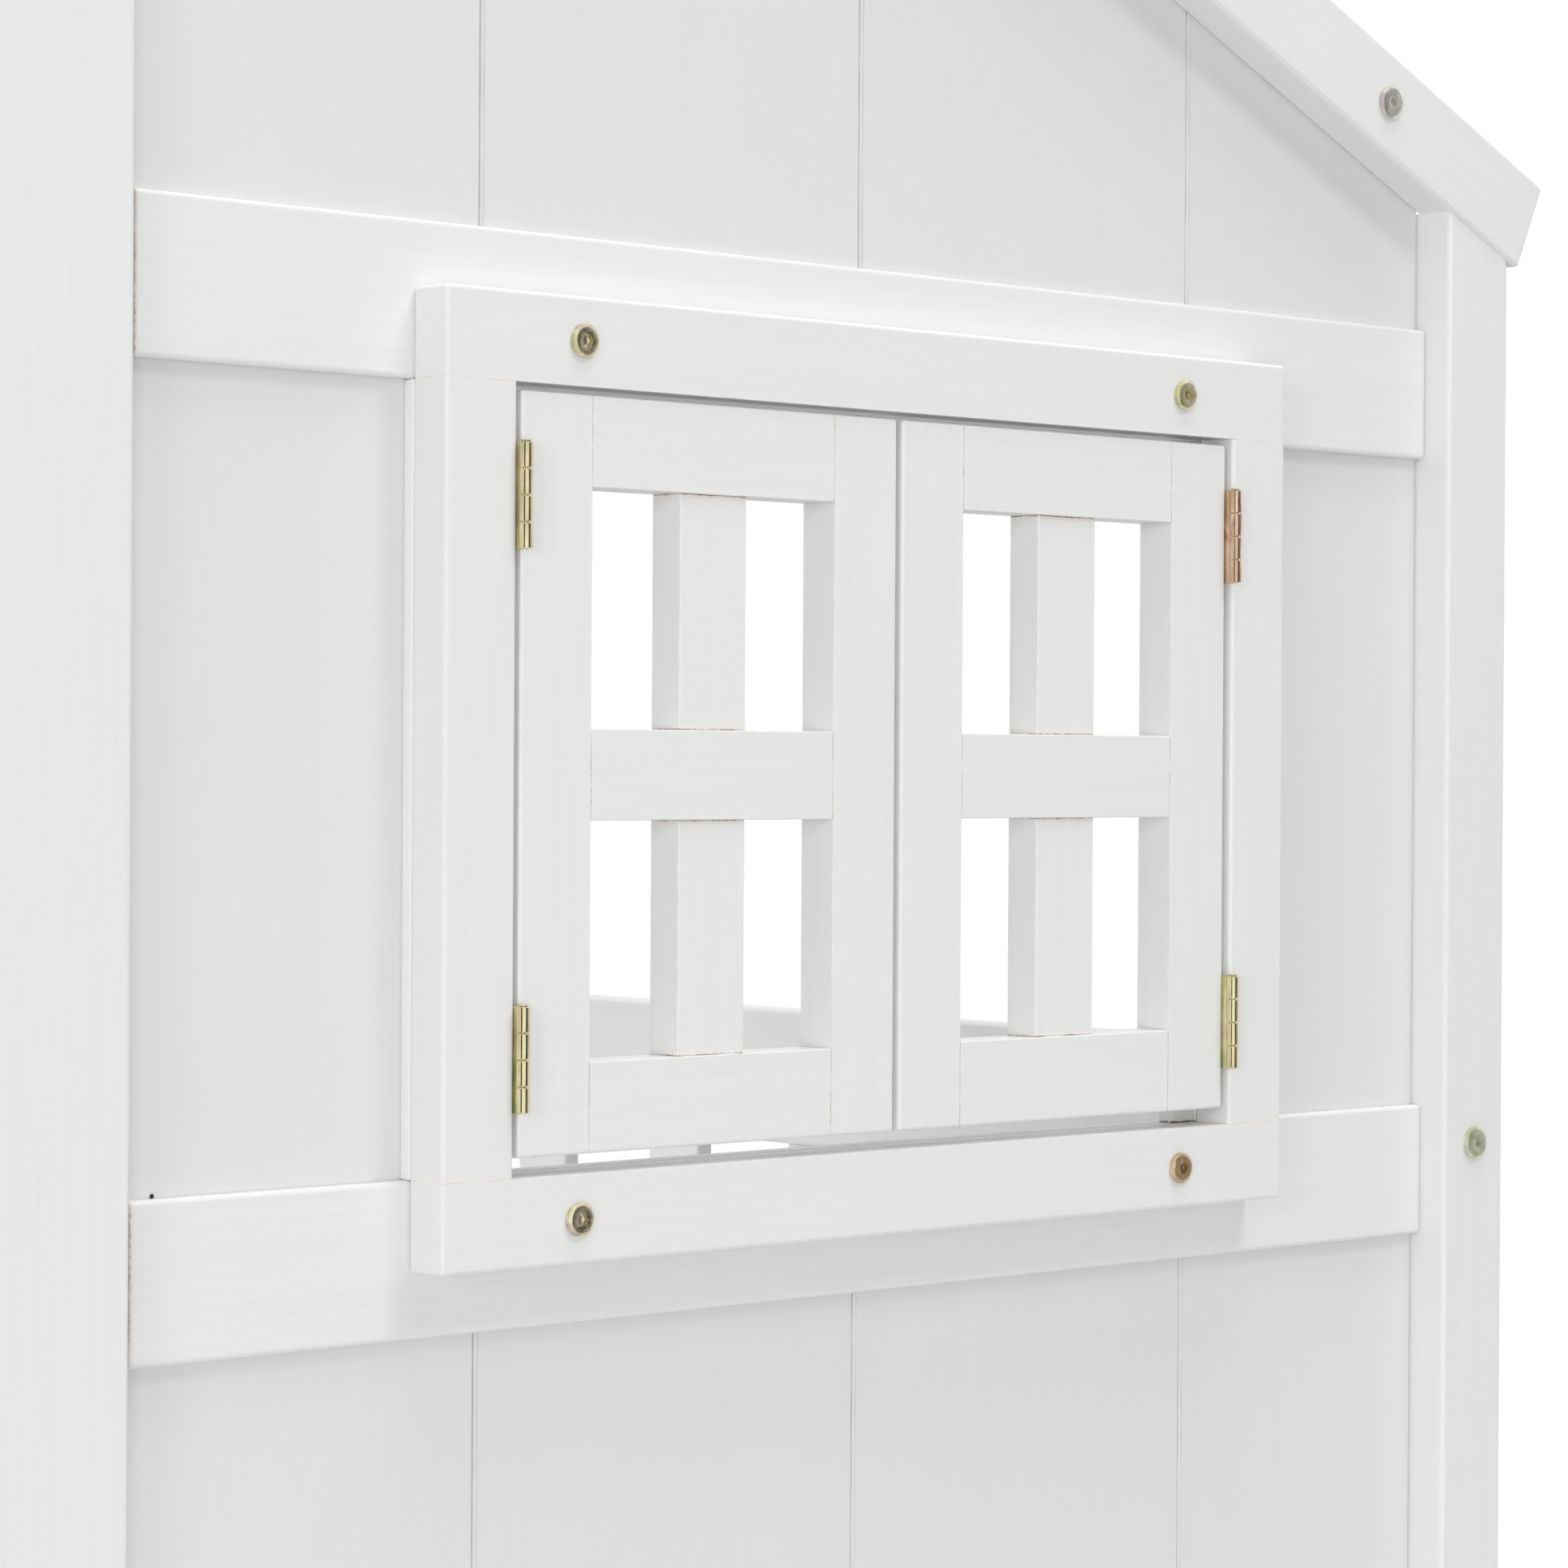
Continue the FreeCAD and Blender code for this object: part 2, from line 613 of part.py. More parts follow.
def hinge_screw(label, axis_x, level, way):
    """Make one countersunk screw whose head is flush with the plate; way is its direction."""
    body = new_body(label, (f"({axis_x}) + ({way}) * (hinge_gap / 2 - plate_thickness)",
                            "axis_y + screw_setback", level))
    direction = "+X" if way == RIGHT else "-X"
    head = body.newObject("PartDesign::AdditiveCone", "Head")
    bind(head, Radius1="screw_head_radius", Radius2="screw_radius", Height="plate_thickness")
    place(head, ORIGIN, TURN_TO[direction])
    round_bar(body, "screw_radius", "screw_length", ORIGIN, direction)
    for size in (("screw_radius", "2 * screw_radius", "screw_radius / 2"),
                 ("screw_radius", "screw_radius / 2", "2 * screw_radius")):
        block(body, size, [f"-({length}) / 2" for length in size], cut=True)
    return body


def hinge_pin(label, axis_x, level):
    """Make a hinge pin whose thin head lies on the uppermost knuckle."""
    body = new_body(label, (axis_x, "axis_y", f"{level} - hinge_length / 2 + knuckle_gap / 2"))
    round_bar(body, "pin_radius", "hinge_length - knuckle_gap", ORIGIN)
    round_bar(body, "pin_head_radius", "pin_head_height", ("0", "0", "hinge_length - knuckle_gap"))
    return body


def make_hinges():
    """Build four butt hinges: leaves, pins and screws."""
    frame_leaves, pins, frame_screws = [], [], []
    for word, side, axis_x in (("left", LEFT, "opening_left + hinge_gap / 2"),
                               ("right", RIGHT, "opening_right - hinge_gap / 2")):
        shutter_leaves, shutter_screws = [], []
        for number, level in enumerate(hinge_levels()):
            tag = f"{word}_{number}"
            frame_leaves.append(hinge_leaf(f"frame_leaf_{tag}", axis_x, level, side, (1, 3)))
            shutter_leaves.append(hinge_leaf(f"shutter_leaf_{tag}", axis_x, level, -side, (0, 2)))
            pins.append(hinge_pin(f"pin_{tag}", axis_x, level))
        for number, level in enumerate(screw_points()):
            frame_screws.append(hinge_screw(f"frame_screw_{word}_{number}", axis_x, level, side))
            shutter_screws.append(hinge_screw(f"shutter_screw_{word}_{number}", axis_x, level, -side))
        keep(f"{word}_shutter_hinge_leaves", *shutter_leaves)
        keep(f"{word}_shutter_hinge_screws", *shutter_screws)
    keep("frame_hinge_leaves", *frame_leaves)
    keep("hinge_pins", *pins)
    keep("frame_hinge_screws", *frame_screws)


# ---------------------------------------------------------------- roof frame
def make_rake(label, side, row_y):
    """Make a rake board: square at its tail, cut plumb where it meets the other one."""
    body = new_body(label, ("0", row_y, "0"))
    board = block(body, ("rake_length", "rake_thickness", "rake_width"))
    tilt(board, side)
    if side == RIGHT:
        at = ("tail_x - rake_length * cos(roof_pitch)", "0", "tail_level + rake_length * sin(roof_pitch)")
    else:
        at = ("-tail_x", "0", "tail_level")
    place(board, at)
    round_all(body, "rake_round")
    start = "-4 * rake_width" if side == RIGHT else "0"
    block(body, ("4 * rake_width", "3 * rake_thickness", "8 * rake_width"),
          (start, "-rake_thickness", "apex_level - 4 * rake_width"), cut=True)
    for bolt_side, x, z in roof_bolt_points():
        if bolt_side == side:
            at = (x, f"{row_y} - rake_thickness", z)
            bolt_hole(body, ("0", row_y, "0"), at, "+Y", "3 * rake_thickness")
    return body


def make_roof():
    """Build the rakes, the purlins and the ridge beam."""
    rear = []
    for side, word in ((LEFT, "left"), (RIGHT, "right")):
        keep(f"front_{word}_rake", make_rake(f"front_{word}_rake", side, "front_y - rake_proud"))
        rear.append(make_rake(f"rear_{word}_rake", side, "rear_rake_y"))
    keep("rear_rakes", *rear)
    purlins = []
    for number, (side, x, z) in enumerate(roof_bolt_points()):
        body = new_body(f"purlin_{number}", (x, "panel_back_y", z), side)
        size = ("purlin_size", "purlin_length", "purlin_size")
        block(body, size, ("-purlin_size / 2", "0", "-purlin_size / 2"))
        round_all(body, "purlin_round")
        for start, way in (("0", "+Y"), ("purlin_length", "-Y")):
            round_bar(body, "shank_bore", "nut_setback + 2 * shank_past_nut",
                      ("0", start, "0"), way, cut=True)
            nut_y = "nut_setback" if way == "+Y" else "purlin_length - nut_setback"
            round_bar(body, "nut_bore", "purlin_size",
                      ("0", nut_y, "-purlin_size / 2"), "+Z", cut=True)
        purlins.append(body)
    keep("purlins", *purlins)
    origin = ("-ridge_width / 2", "front_y + post_size", "apex_level + ridge_rise - ridge_height")
    ridge = stick("ridge_beam", ("ridge_width", "ridge_length", "ridge_height"), origin, "purlin_round")
    drop = "ridge_height - ridge_rise - ridge_bolt_drop"
    for start, way, nut_y in (("0", "+Y", "nut_setback"),
                              ("ridge_length", "-Y", "ridge_length - nut_setback")):
        round_bar(ridge, "shank_bore", "nut_setback + 2 * shank_past_nut",
                  ("ridge_width / 2", start, drop), way, cut=True)
        round_bar(ridge, "nut_bore", "ridge_width", ("0", nut_y, drop), "+X", cut=True)
    keep("ridge_beam", ridge)


# ---------------------------------------------------------------- railings
def railing_board(label, size, at, along, bolt_level):
    """Make a railing board with a bolt hole and a cross dowel hole at each bolted end."""
    body = stick(label, size, at, "railing_round")
    level = f"{bolt_level} - ({at[2]})"
    if along == "Y":
        ends = (("+Y", "0", "nut_setback"), ("-Y", "side_run", "side_run - nut_setback"))
        for way, start, nut_y in ends:
            round_bar(body, "shank_bore", "nut_setback + 2 * shank_past_nut",
                      ("railing_thickness / 2", start, level), way, cut=True)
            round_bar(body, "nut_bore", "railing_thickness", ("0", nut_y, level), "+X", cut=True)
    return body


def make_railings():
    """Build the side and rear railings: two boards and a row of slats in each bay."""
    boards, slats = [], []
    rows = (("top", "slat_top", "top_bolt_level"), ("kick", "kick_level", "kick_bolt_level"))
    for word, left in (("left", "-railing_x - railing_thickness"), ("right", "railing_x")):
        for row_word, level, bolt_level in rows:
            boards.append(railing_board(f"{word}_{row_word}_board",
                                        ("railing_thickness", "side_run", "railing_height"),
                                        (left, "front_y + post_size", level), "Y", bolt_level))
        for number in range(SIDE_SLATS):
            y = f"front_y + post_size + ({number} + 0.5) * side_run / {SIDE_SLATS} - slat_width / 2"
            slats.append(stick(f"{word}_slat_{number}", ("slat_thickness", "slat_width", "slat_length"),
                               (f"({left}) + (railing_thickness - slat_thickness) / 2", y, "slat_bottom"),
                               "slat_round"))
    keep("side_railing_boards", *boards)
    keep("side_railing_slats", *slats)
    boards, slats = [], []
    rear_y = "rear_y - (post_size + railing_thickness) / 2"
    for word, left in (("left", "-bay_end"), ("right", "bay_start")):
        for row_word, level, bolt_level in rows:
            size = ("bay_width", "railing_thickness", "railing_height")
            body = stick(f"rear_{word}_{row_word}_board", size, (left, rear_y, level), "railing_round")
            drop = f"{bolt_level} - rear_bolt_step - ({level})"
            start, way, nut_x = (("0", "+X", "nut_setback") if word == "left"
                                 else ("bay_width", "-X", "bay_width - nut_setback"))
            round_bar(body, "shank_bore", "nut_setback + 2 * shank_past_nut",
                      (start, "railing_thickness / 2", drop), way, cut=True)
            round_bar(body, "nut_bore", "railing_thickness",
                      (nut_x, "0", drop), "+Y", cut=True)
            boards.append(body)
        for number in range(REAR_SLATS):
            x = f"({left}) + ({number} + 0.5) * bay_width / {REAR_SLATS} - slat_width / 2"
            slats.append(stick(f"rear_{word}_slat_{number}", ("slat_width", "slat_thickness", "slat_length"),
                               (x, f"{rear_y} + (railing_thickness - slat_thickness) / 2", "slat_bottom"),
                               "slat_round"))
    keep("rear_railing_boards", *boards)
    keep("rear_railing_slats", *slats)


# ---------------------------------------------------------------- bolts and nuts
def make_bolts():
    """Build the connector bolts with their cap nuts and barrel nuts."""
    bolts, caps = [], []
    through = "frame_thickness + rail_thickness + board_thickness"
    for number, (x, y, z) in enumerate(frame_bolt_points()):
        bolts.append(connector_bolt(f"frame_bolt_{number}", (x, y, z), "+Y", "frame_head_radius",
                                    f"{through} + thread_in_cap"))
        cap = new_body(f"cap_nut_{number}", (x, "panel_back_y", z))
        round_bar(cap, "frame_head_radius", "cap_nut_height", ORIGIN, "+Y")
        round_bar(cap, "shank_bore", "thread_in_cap", ORIGIN, "+Y", cut=True)
        caps.append(cap)
    keep("frame_bolts", *bolts)
    keep("frame_cap_nuts", *caps)
    reach = "nut_setback + shank_past_nut"
    railing_nut = "railing_thickness - 2 * nut_end_gap"
    railing_bolts, nuts = [], []
    for side in (LEFT, RIGHT):
        x = f"({side}) * (outer_x - post_size / 2)"
        for level in ("top_bolt_level", "kick_bolt_level"):
            for y, way, nut_y in (("front_y", "+Y", "front_y + post_size + nut_setback"),
                                  ("rear_y", "-Y", "rear_y - post_size - nut_setback")):
                railing_bolts.append(connector_bolt(f"railing_bolt_{len(railing_bolts)}", (x, y, level), way,
                                                    "post_head_radius", f"post_size + {reach}"))
                nuts.append(barrel_nut(f"barrel_nut_{len(nuts)}", (x, nut_y, level), "X", railing_nut, "Y"))
            lower = f"{level} - rear_bolt_step"
            railing_bolts.append(connector_bolt(f"railing_bolt_{len(railing_bolts)}",
                                                (f"({side}) * outer_x", "rear_y - post_size / 2", lower),
                                                "+X" if side == LEFT else "-X", "post_head_radius",
                                                f"post_size + {reach}"))
            nuts.append(barrel_nut(f"barrel_nut_{len(nuts)}", (f"({side}) * (bay_end - nut_setback)",
                                                              "rear_y - post_size / 2", lower),
                                   "Y", railing_nut, "X"))
    keep("railing_bolts", *railing_bolts)
    roof_bolts = []
    purlin_nut = "purlin_size - 2 * nut_end_gap"
    ends = (("front_y - rake_proud", "+Y", "panel_back_y + nut_setback", "rake_thickness + board_thickness"),
            ("rear_y + rake_proud", "-Y", "rear_rake_y - nut_setback", "rake_thickness"))
    for side, x, z in roof_bolt_points():
        for y, way, nut_y, grip in ends:
            label = f"roof_bolt_{len(roof_bolts)}"
            roof_bolts.append(connector_bolt(label, (x, y, z), way, "post_head_radius", f"{grip} + {reach}"))
            nuts.append(barrel_nut(f"barrel_nut_{len(nuts)}", (x, nut_y, z), "Z", purlin_nut, "Y", side))
    ridge_nut = "ridge_width - 2 * nut_end_gap"
    level = "apex_level - ridge_bolt_drop"
    for y, way, nut_y in (("front_y", "+Y", "front_y + post_size + nut_setback"),
                          ("rear_y", "-Y", "rear_y - post_size - nut_setback")):
        label = f"roof_bolt_{len(roof_bolts)}"
        roof_bolts.append(connector_bolt(label, ("0", y, level), way, "post_head_radius",
                                         f"post_size + {reach}"))
        nuts.append(barrel_nut(f"barrel_nut_{len(nuts)}", ("0", nut_y, level), "X", ridge_nut, "Y"))
    keep("roof_bolts", *roof_bolts)
    keep("barrel_nuts", *nuts)


make_posts()
make_panels()
make_rails()
make_window_frame()
make_shutter("left", LEFT)
make_shutter("right", RIGHT)
make_hinges()
make_roof()
make_railings()
make_bolts()
doc.recompute()

for thing in doc.Objects:
    if "Invalid" in thing.State or "Error" in thing.State:
        sys.exit(f"{thing.Label} failed: {thing.State}")
for label, thing in nodes.items():
    if thing.Shape.isNull() or not thing.Shape.isValid():
        sys.exit(f"{label} has no valid shape")

os.makedirs("parts", exist_ok=True)
for label, thing in nodes.items():
    thing.Shape.exportStep(f"parts/{label}.step")
    box = thing.Shape.BoundBox
    print(f"{label}: {len(thing.Shape.Solids)} solids, volume {thing.Shape.Volume:.0f}, "
          f"x {box.XMin:.1f} to {box.XMax:.1f}, y {box.YMin:.1f} to {box.YMax:.1f}, "
          f"z {box.ZMin:.1f} to {box.ZMax:.1f}")
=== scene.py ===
"""Looks of a white painted wooden playhouse: paint, timber ends, plated fittings, light and camera.

Everything is in metres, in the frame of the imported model: X along the front, +Y from front to back,
+Z up, origin on the floor in the middle of the house.
"""
import json
import logging
import math
from dataclasses import dataclass
from enum import Enum

import bmesh
import bpy
from mathutils import Euler, Matrix, Vector

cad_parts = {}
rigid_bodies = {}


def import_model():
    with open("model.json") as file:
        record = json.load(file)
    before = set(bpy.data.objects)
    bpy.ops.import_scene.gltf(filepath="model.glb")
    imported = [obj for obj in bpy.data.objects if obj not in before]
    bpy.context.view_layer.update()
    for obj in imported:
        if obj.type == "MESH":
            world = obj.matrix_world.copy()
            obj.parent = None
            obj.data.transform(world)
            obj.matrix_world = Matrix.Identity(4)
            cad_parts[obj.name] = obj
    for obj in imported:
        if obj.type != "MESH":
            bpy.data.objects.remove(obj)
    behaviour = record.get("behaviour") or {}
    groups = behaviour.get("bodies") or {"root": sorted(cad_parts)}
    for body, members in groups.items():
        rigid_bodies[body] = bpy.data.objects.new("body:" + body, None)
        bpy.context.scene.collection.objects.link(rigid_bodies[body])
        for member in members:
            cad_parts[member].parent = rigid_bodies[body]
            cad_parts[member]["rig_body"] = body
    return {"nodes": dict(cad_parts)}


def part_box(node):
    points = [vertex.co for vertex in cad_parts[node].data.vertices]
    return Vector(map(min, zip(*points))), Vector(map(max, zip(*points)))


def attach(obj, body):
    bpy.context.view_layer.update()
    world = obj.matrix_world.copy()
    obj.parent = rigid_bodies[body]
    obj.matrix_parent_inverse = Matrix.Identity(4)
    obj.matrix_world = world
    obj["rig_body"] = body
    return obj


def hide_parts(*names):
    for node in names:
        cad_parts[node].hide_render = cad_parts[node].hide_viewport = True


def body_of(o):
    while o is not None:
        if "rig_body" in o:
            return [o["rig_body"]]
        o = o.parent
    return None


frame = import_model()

LOG = logging.getLogger("playhouse")
MM = 0.001
SAME_PLACE = 0.001 * MM         # vertices nearer than this are one
OUT_OF_REACH = 10.0             # beyond every end of the house
WINDOW = (0.5, -0.55, 0.9)      # middle of the window's front, which the studio is set up round

Point = tuple[float, float, float]
Colour = tuple[float, float, float]
Shade = tuple[float, float, float, float]


def linear(shade: Colour) -> Shade:
    """Return a display colour, channels 0 to 1, as the linear colour with alpha that shaders use."""
    return tuple(((c + 0.055) / 1.055) ** 2.4 if c > 0.04045 else c / 12.92 for c in shade) + (1.0,)


# ------------------------------------------------------------------ shader tools
class Desk:
    """Adds and wires shader nodes in one node tree."""

    def __init__(self, tree: bpy.types.NodeTree) -> None:
        """Start work on a material's or a group's node tree."""
        self.tree = tree

    @classmethod
    def for_material(cls, name: str) -> tuple["Desk", bpy.types.Material]:
        """Make an empty material.

        Args:
            name: Name of the material.

        Returns:
            A desk for its tree, and the material.
        """
        made = bpy.data.materials.new(name)
        made.use_nodes = True
        made.node_tree.nodes.clear()
        return cls(made.node_tree), made

    def node(self, kind: str, inputs: dict | None = None, **settings: object) -> bpy.types.Node:
        """Add a node.

        Args:
            kind: Node type, without its ShaderNode prefix.
            inputs: Sockets by name or number, each with a value or the output to link to it.
            settings: Attributes of the node.

        Returns:
            The new node.
        """
        new = self.tree.nodes.new(kind if kind.startswith("NodeGroup") else f"ShaderNode{kind}")
        for name, value in settings.items():
            setattr(new, name, value)
        self.feed(new, inputs or {})
        return new

    def feed(self, node: bpy.types.Node, inputs: dict) -> None:
        """Set a node's inputs.

        Args:
            node: The node.
            inputs: Sockets by name or number, each with a value or the output to link to it.
        """
        for key, value in inputs.items():
            if isinstance(value, bpy.types.NodeSocket):
                self.tree.links.new(value, node.inputs[key])
            else:
                node.inputs[key].default_value = value

    def math(self, operation: str, *terms: object) -> bpy.types.NodeSocket:
        """Return one to three numbers or outputs joined by a Math node's operation."""
        return self.node("Math", dict(enumerate(terms)), operation=operation).outputs[0]

    def ramp(self, value: object, start: object, end: object, low: object = 0.0, high: object = 1.0,
             smooth: bool = True) -> bpy.types.NodeSocket:
        """Spread a value over a range.

        Args:
            value: What is measured.
            start: Where the result is low.
            end: Where the result is high.
            low: Result at the start and before it.
            high: Result at the end and past it.
            smooth: True for an easy curve at both ends.

        Returns:
            The result.
        """
        inputs = {"Value": value, "From Min": start, "From Max": end, "To Min": low, "To Max": high}
        kind = "SMOOTHSTEP" if smooth else "LINEAR"
        return self.node("MapRange", inputs, interpolation_type=kind).outputs[0]

    def mix(self, share: object, first: object, second: object, blend: str = "MIX") -> bpy.types.NodeSocket:
        """Return two colours mixed, with a share of the second laid on the first by the blend."""
        mixed = self.node("Mix", {0: share, 6: first, 7: second}, data_type="RGBA", blend_type=blend)
        return mixed.outputs[2]

    def noise(self, vector: object, scale: float, detail: float = 2.0, roughness: float = 0.5,
              distortion: float = 0.0) -> bpy.types.NodeSocket:
        """Add a noise pattern.

        Args:
            vector: Where it is read.
            scale: Features per metre.
            detail: Number of finer layers.
            roughness: Weight of the finer layers.
            distortion: How far it is warped.

        Returns:
            The pattern, 0 to 1.
        """
        inputs = {"Vector": vector, "Scale": scale, "Detail": detail, "Roughness": roughness,
                  "Distortion": distortion}
        return self.node("TexNoise", inputs).outputs["Fac"]

    def stretched(self, vector: object, scale: Colour) -> bpy.types.NodeSocket:
        """Return a pattern's vector scaled by one factor for each axis."""
        return self.node("Mapping", {"Vector": vector, "Scale": scale}).outputs[0]

    def shifted(self, vector: object, way: Point) -> bpy.types.NodeSocket:
        """Return a pattern's vector moved along each axis."""
        return self.node("Mapping", {"Vector": vector, "Location": way}).outputs[0]

    def group(self, tree: bpy.types.NodeTree, inputs: dict) -> bpy.types.Node:
        """Place a node group.

        Args:
            tree: The group.
            inputs: Values or outputs for its inputs.

        Returns:
            The group node.
        """
        new = self.node("Group", node_tree=tree)
        self.feed(new, inputs)
        return new


class Effects:
    """Shader groups that several finishes share, each built once."""

    def __init__(self) -> None:
        """Build the groups."""
        self.grain = self._grain()
        self.timber_end = self._timber_end()
        self.arris = self._arris()
        self.handling = self._handling()
        self.seam = self._seam()

    @staticmethod
    def _start(name: str, inputs: dict[str, str],
               outputs: dict[str, str]) -> tuple[Desk, dict, bpy.types.Node]:
        """Start a group.

        Args:
            name: Name of the group.
            inputs: Socket types by name.
            outputs: Socket types by name.

        Returns:
            A desk for its tree, its inputs by name, and its output node.
        """
        tree = bpy.data.node_groups.new(name, "ShaderNodeTree")
        for side, sockets in (("INPUT", inputs), ("OUTPUT", outputs)):
            for label, kind in sockets.items():
                tree.interface.new_socket(name=label, in_out=side, socket_type=f"NodeSocket{kind}")
        desk = Desk(tree)
        given = desk.node("NodeGroupInput")
        made = desk.node("NodeGroupOutput")
        return desk, {label: given.outputs[label] for label in inputs}, made

    def _grain(self) -> bpy.types.NodeTree:
        """Make wood grain under paint, with the grain along the vector's X.

        Returns:
            A group that gives a height and a mask of streaks.
        """
        desk, given, made = self._start("wood_grain", {"Vector": "Vector"},
                                        {"Height": "Float", "Streak": "Float"})
        sway = desk.noise(desk.stretched(given["Vector"], (2.2, 9.0, 9.0)), scale=1.0)
        fibres = desk.noise(desk.stretched(given["Vector"], (7.0, 430.0, 430.0)), scale=1.0, detail=4.0,
                            roughness=0.62, distortion=0.3)
        bands = desk.noise(desk.stretched(given["Vector"], (2.0, 60.0, 60.0)), scale=1.0, detail=3.0,
                           roughness=0.55)
        long_rings = desk.stretched(given["Vector"], (0.035, 1.0, 1.0))
        rings = desk.node("TexWave", {"Vector": long_rings, "Scale": 62.0, "Distortion": 9.0, "Detail": 3.0,
                                      "Detail Scale": 0.7, "Detail Roughness": 0.55},
                          wave_type="BANDS", bands_direction="DIAGONAL").outputs["Fac"]
        shown = desk.ramp(sway, 0.42, 0.62)
        ring_height = desk.math("MULTIPLY", desk.math("MULTIPLY", rings, shown), 0.35)
        fibre_height = desk.math("MULTIPLY", fibres, desk.ramp(bands, 0.35, 0.65, 0.35, 1.0))
        height = desk.math("MULTIPLY_ADD", fibre_height, 0.65, ring_height)
        half_bands = desk.math("MULTIPLY", bands, 0.5)
        streak = desk.math("MULTIPLY_ADD", desk.ramp(fibres, 0.35, 0.72), 0.5, half_bands)
        desk.tree.links.new(height, made.inputs["Height"])
        desk.tree.links.new(streak, made.inputs["Streak"])
        return desk.tree

    def _timber_end(self) -> bpy.types.NodeTree:
        """Make the sawn ends of a timber: raw wood at the very end, and thin paint next to it.

        Returns:
            A group that gives a mask for each.
        """
        desk, given, made = self._start(
            "timber_end", {"Vector": "Vector", "Along": "Float", "Low": "Float", "High": "Float",
                           "Raw Reach": "Float", "Thin Reach": "Float"}, {"Raw": "Float", "Thin": "Float"})
        from_low = desk.math("SUBTRACT", given["Along"], given["Low"])
        from_high = desk.math("SUBTRACT", given["High"], given["Along"])
        nearest = desk.math("MINIMUM", from_low, from_high)
        ragged = desk.ramp(desk.noise(given["Vector"], scale=420.0, detail=3.0, roughness=0.7), 0.30, 0.62,
                           low=0.25)
        patchy = desk.ramp(desk.noise(given["Vector"], scale=70.0), 0.30, 0.60, low=0.35)
        raw_edge = desk.math("MULTIPLY", given["Raw Reach"], ragged)
        raw = desk.ramp(nearest, desk.math("MULTIPLY", raw_edge, 0.5), raw_edge, low=1.0, high=0.0)
        thin = desk.math("MULTIPLY", desk.ramp(nearest, 0.0, given["Thin Reach"], low=1.0, high=0.0), patchy)
        desk.tree.links.new(desk.math("MULTIPLY", raw, patchy), made.inputs["Raw"])
        desk.tree.links.new(thin, made.inputs["Thin"])
        return desk.tree

    def _arris(self) -> bpy.types.NodeTree:
        """Find the arrises of a bar, where the second smallest distance to its pairs of sides is small.

        Returns:
            A group that gives a mask.
        """
        desk, given, made = self._start("arris", {"Vector": "Vector", "Low": "Vector", "High": "Vector",
                                                  "Reach": "Float"}, {"Mask": "Float"})
        near = []
        parts = [desk.node("SeparateXYZ", {0: given[name]}).outputs for name in ("Vector", "Low", "High")]
        for axis in range(3):
            from_low = desk.math("SUBTRACT", parts[0][axis], parts[1][axis])
            from_high = desk.math("SUBTRACT", parts[2][axis], parts[0][axis])
            near.append(desk.math("MINIMUM", from_low, from_high))
        smaller = desk.math("MINIMUM", near[0], near[1])
        larger = desk.math("MAXIMUM", near[0], near[1])
        second = desk.math("MAXIMUM", smaller, desk.math("MINIMUM", larger, near[2]))
        patchy = desk.ramp(desk.noise(given["Vector"], scale=120.0, detail=3.0, roughness=0.6), 0.40, 0.66)
        # The mask places a painted highlight, a near-white line, along the arrises.
        mask = desk.math("MULTIPLY", desk.ramp(second, 0.0, given["Reach"], low=1.0, high=0.0), patchy)
        desk.tree.links.new(mask, made.inputs["Mask"])
        return desk.tree

    def _seam(self) -> bpy.types.NodeTree:
        """Draw fine grey lines along a board: in the joints at its edges, and where the first chamfer ends.

        Returns:
            A group that gives a mask.
        """
        desk, given, made = self._start("seam", {"Vector": "Vector", "Across": "Float", "Edge": "Float",
                                                 "Far Edge": "Float", "Chamfer": "Float", "Width": "Float"},
                                        {"Mask": "Float"})
        depth = desk.math("SUBTRACT", given["Across"], given["Edge"])
        joint = desk.ramp(depth, 0.0, given["Width"], low=1.0, high=0.0)
        from_chamfer = desk.math("ABSOLUTE", desk.math("SUBTRACT", depth, given["Chamfer"]))
        line = desk.ramp(from_chamfer, 0.0, given["Width"], low=0.55, high=0.0)
        patchy = desk.ramp(desk.noise(given["Vector"], scale=35.0, detail=3.0, roughness=0.6), 0.3, 0.65,
                           low=0.45)
        far = desk.math("SUBTRACT", given["Far Edge"], given["Across"])
        far_joint = desk.ramp(far, 0.0, given["Width"], low=1.0, high=0.0)
        lines = desk.math("MAXIMUM", desk.math("MAXIMUM", joint, line), far_joint)
        mask = desk.math("MULTIPLY", lines, patchy)
        desk.tree.links.new(mask, made.inputs["Mask"])
        return desk.tree

    def _handling(self) -> bpy.types.NodeTree:
        """Make the uneven gloss that handling and spraying leave.

        Returns:
            A group that gives slow patches and a fine peel.
        """
        desk, given, made = self._start("handling", {"Vector": "Vector"},
                                        {"Patches": "Float", "Peel": "Float"})
        patches = desk.noise(given["Vector"], scale=14.0, detail=3.0, roughness=0.55)
        peel = desk.noise(given["Vector"], scale=900.0)
        desk.tree.links.new(patches, made.inputs["Patches"])
        desk.tree.links.new(peel, made.inputs["Peel"])
        return desk.tree


# ------------------------------------------------------------------ finishes
class Grain(Enum):
    """The way the grain of a timber runs, as the turn that lays it along X."""

    ACROSS = (0.0, 0.0, 0.0)
    DEEP = (0.0, 0.0, -90.0)
    UPRIGHT = (0.0, 90.0, 0.0)
    SLOPE = (0.0, -24.8, 0.0)

    def turn(self) -> Euler:
        """Return the turn as an Euler rotation."""
        return Euler([math.radians(angle) for angle in self.value])


class Ends(Enum):
    """Which ends of a timber were sawn after it was painted."""

    BOTH = (True, True)
    LOW = (True, False)
    NEITHER = (False, False)


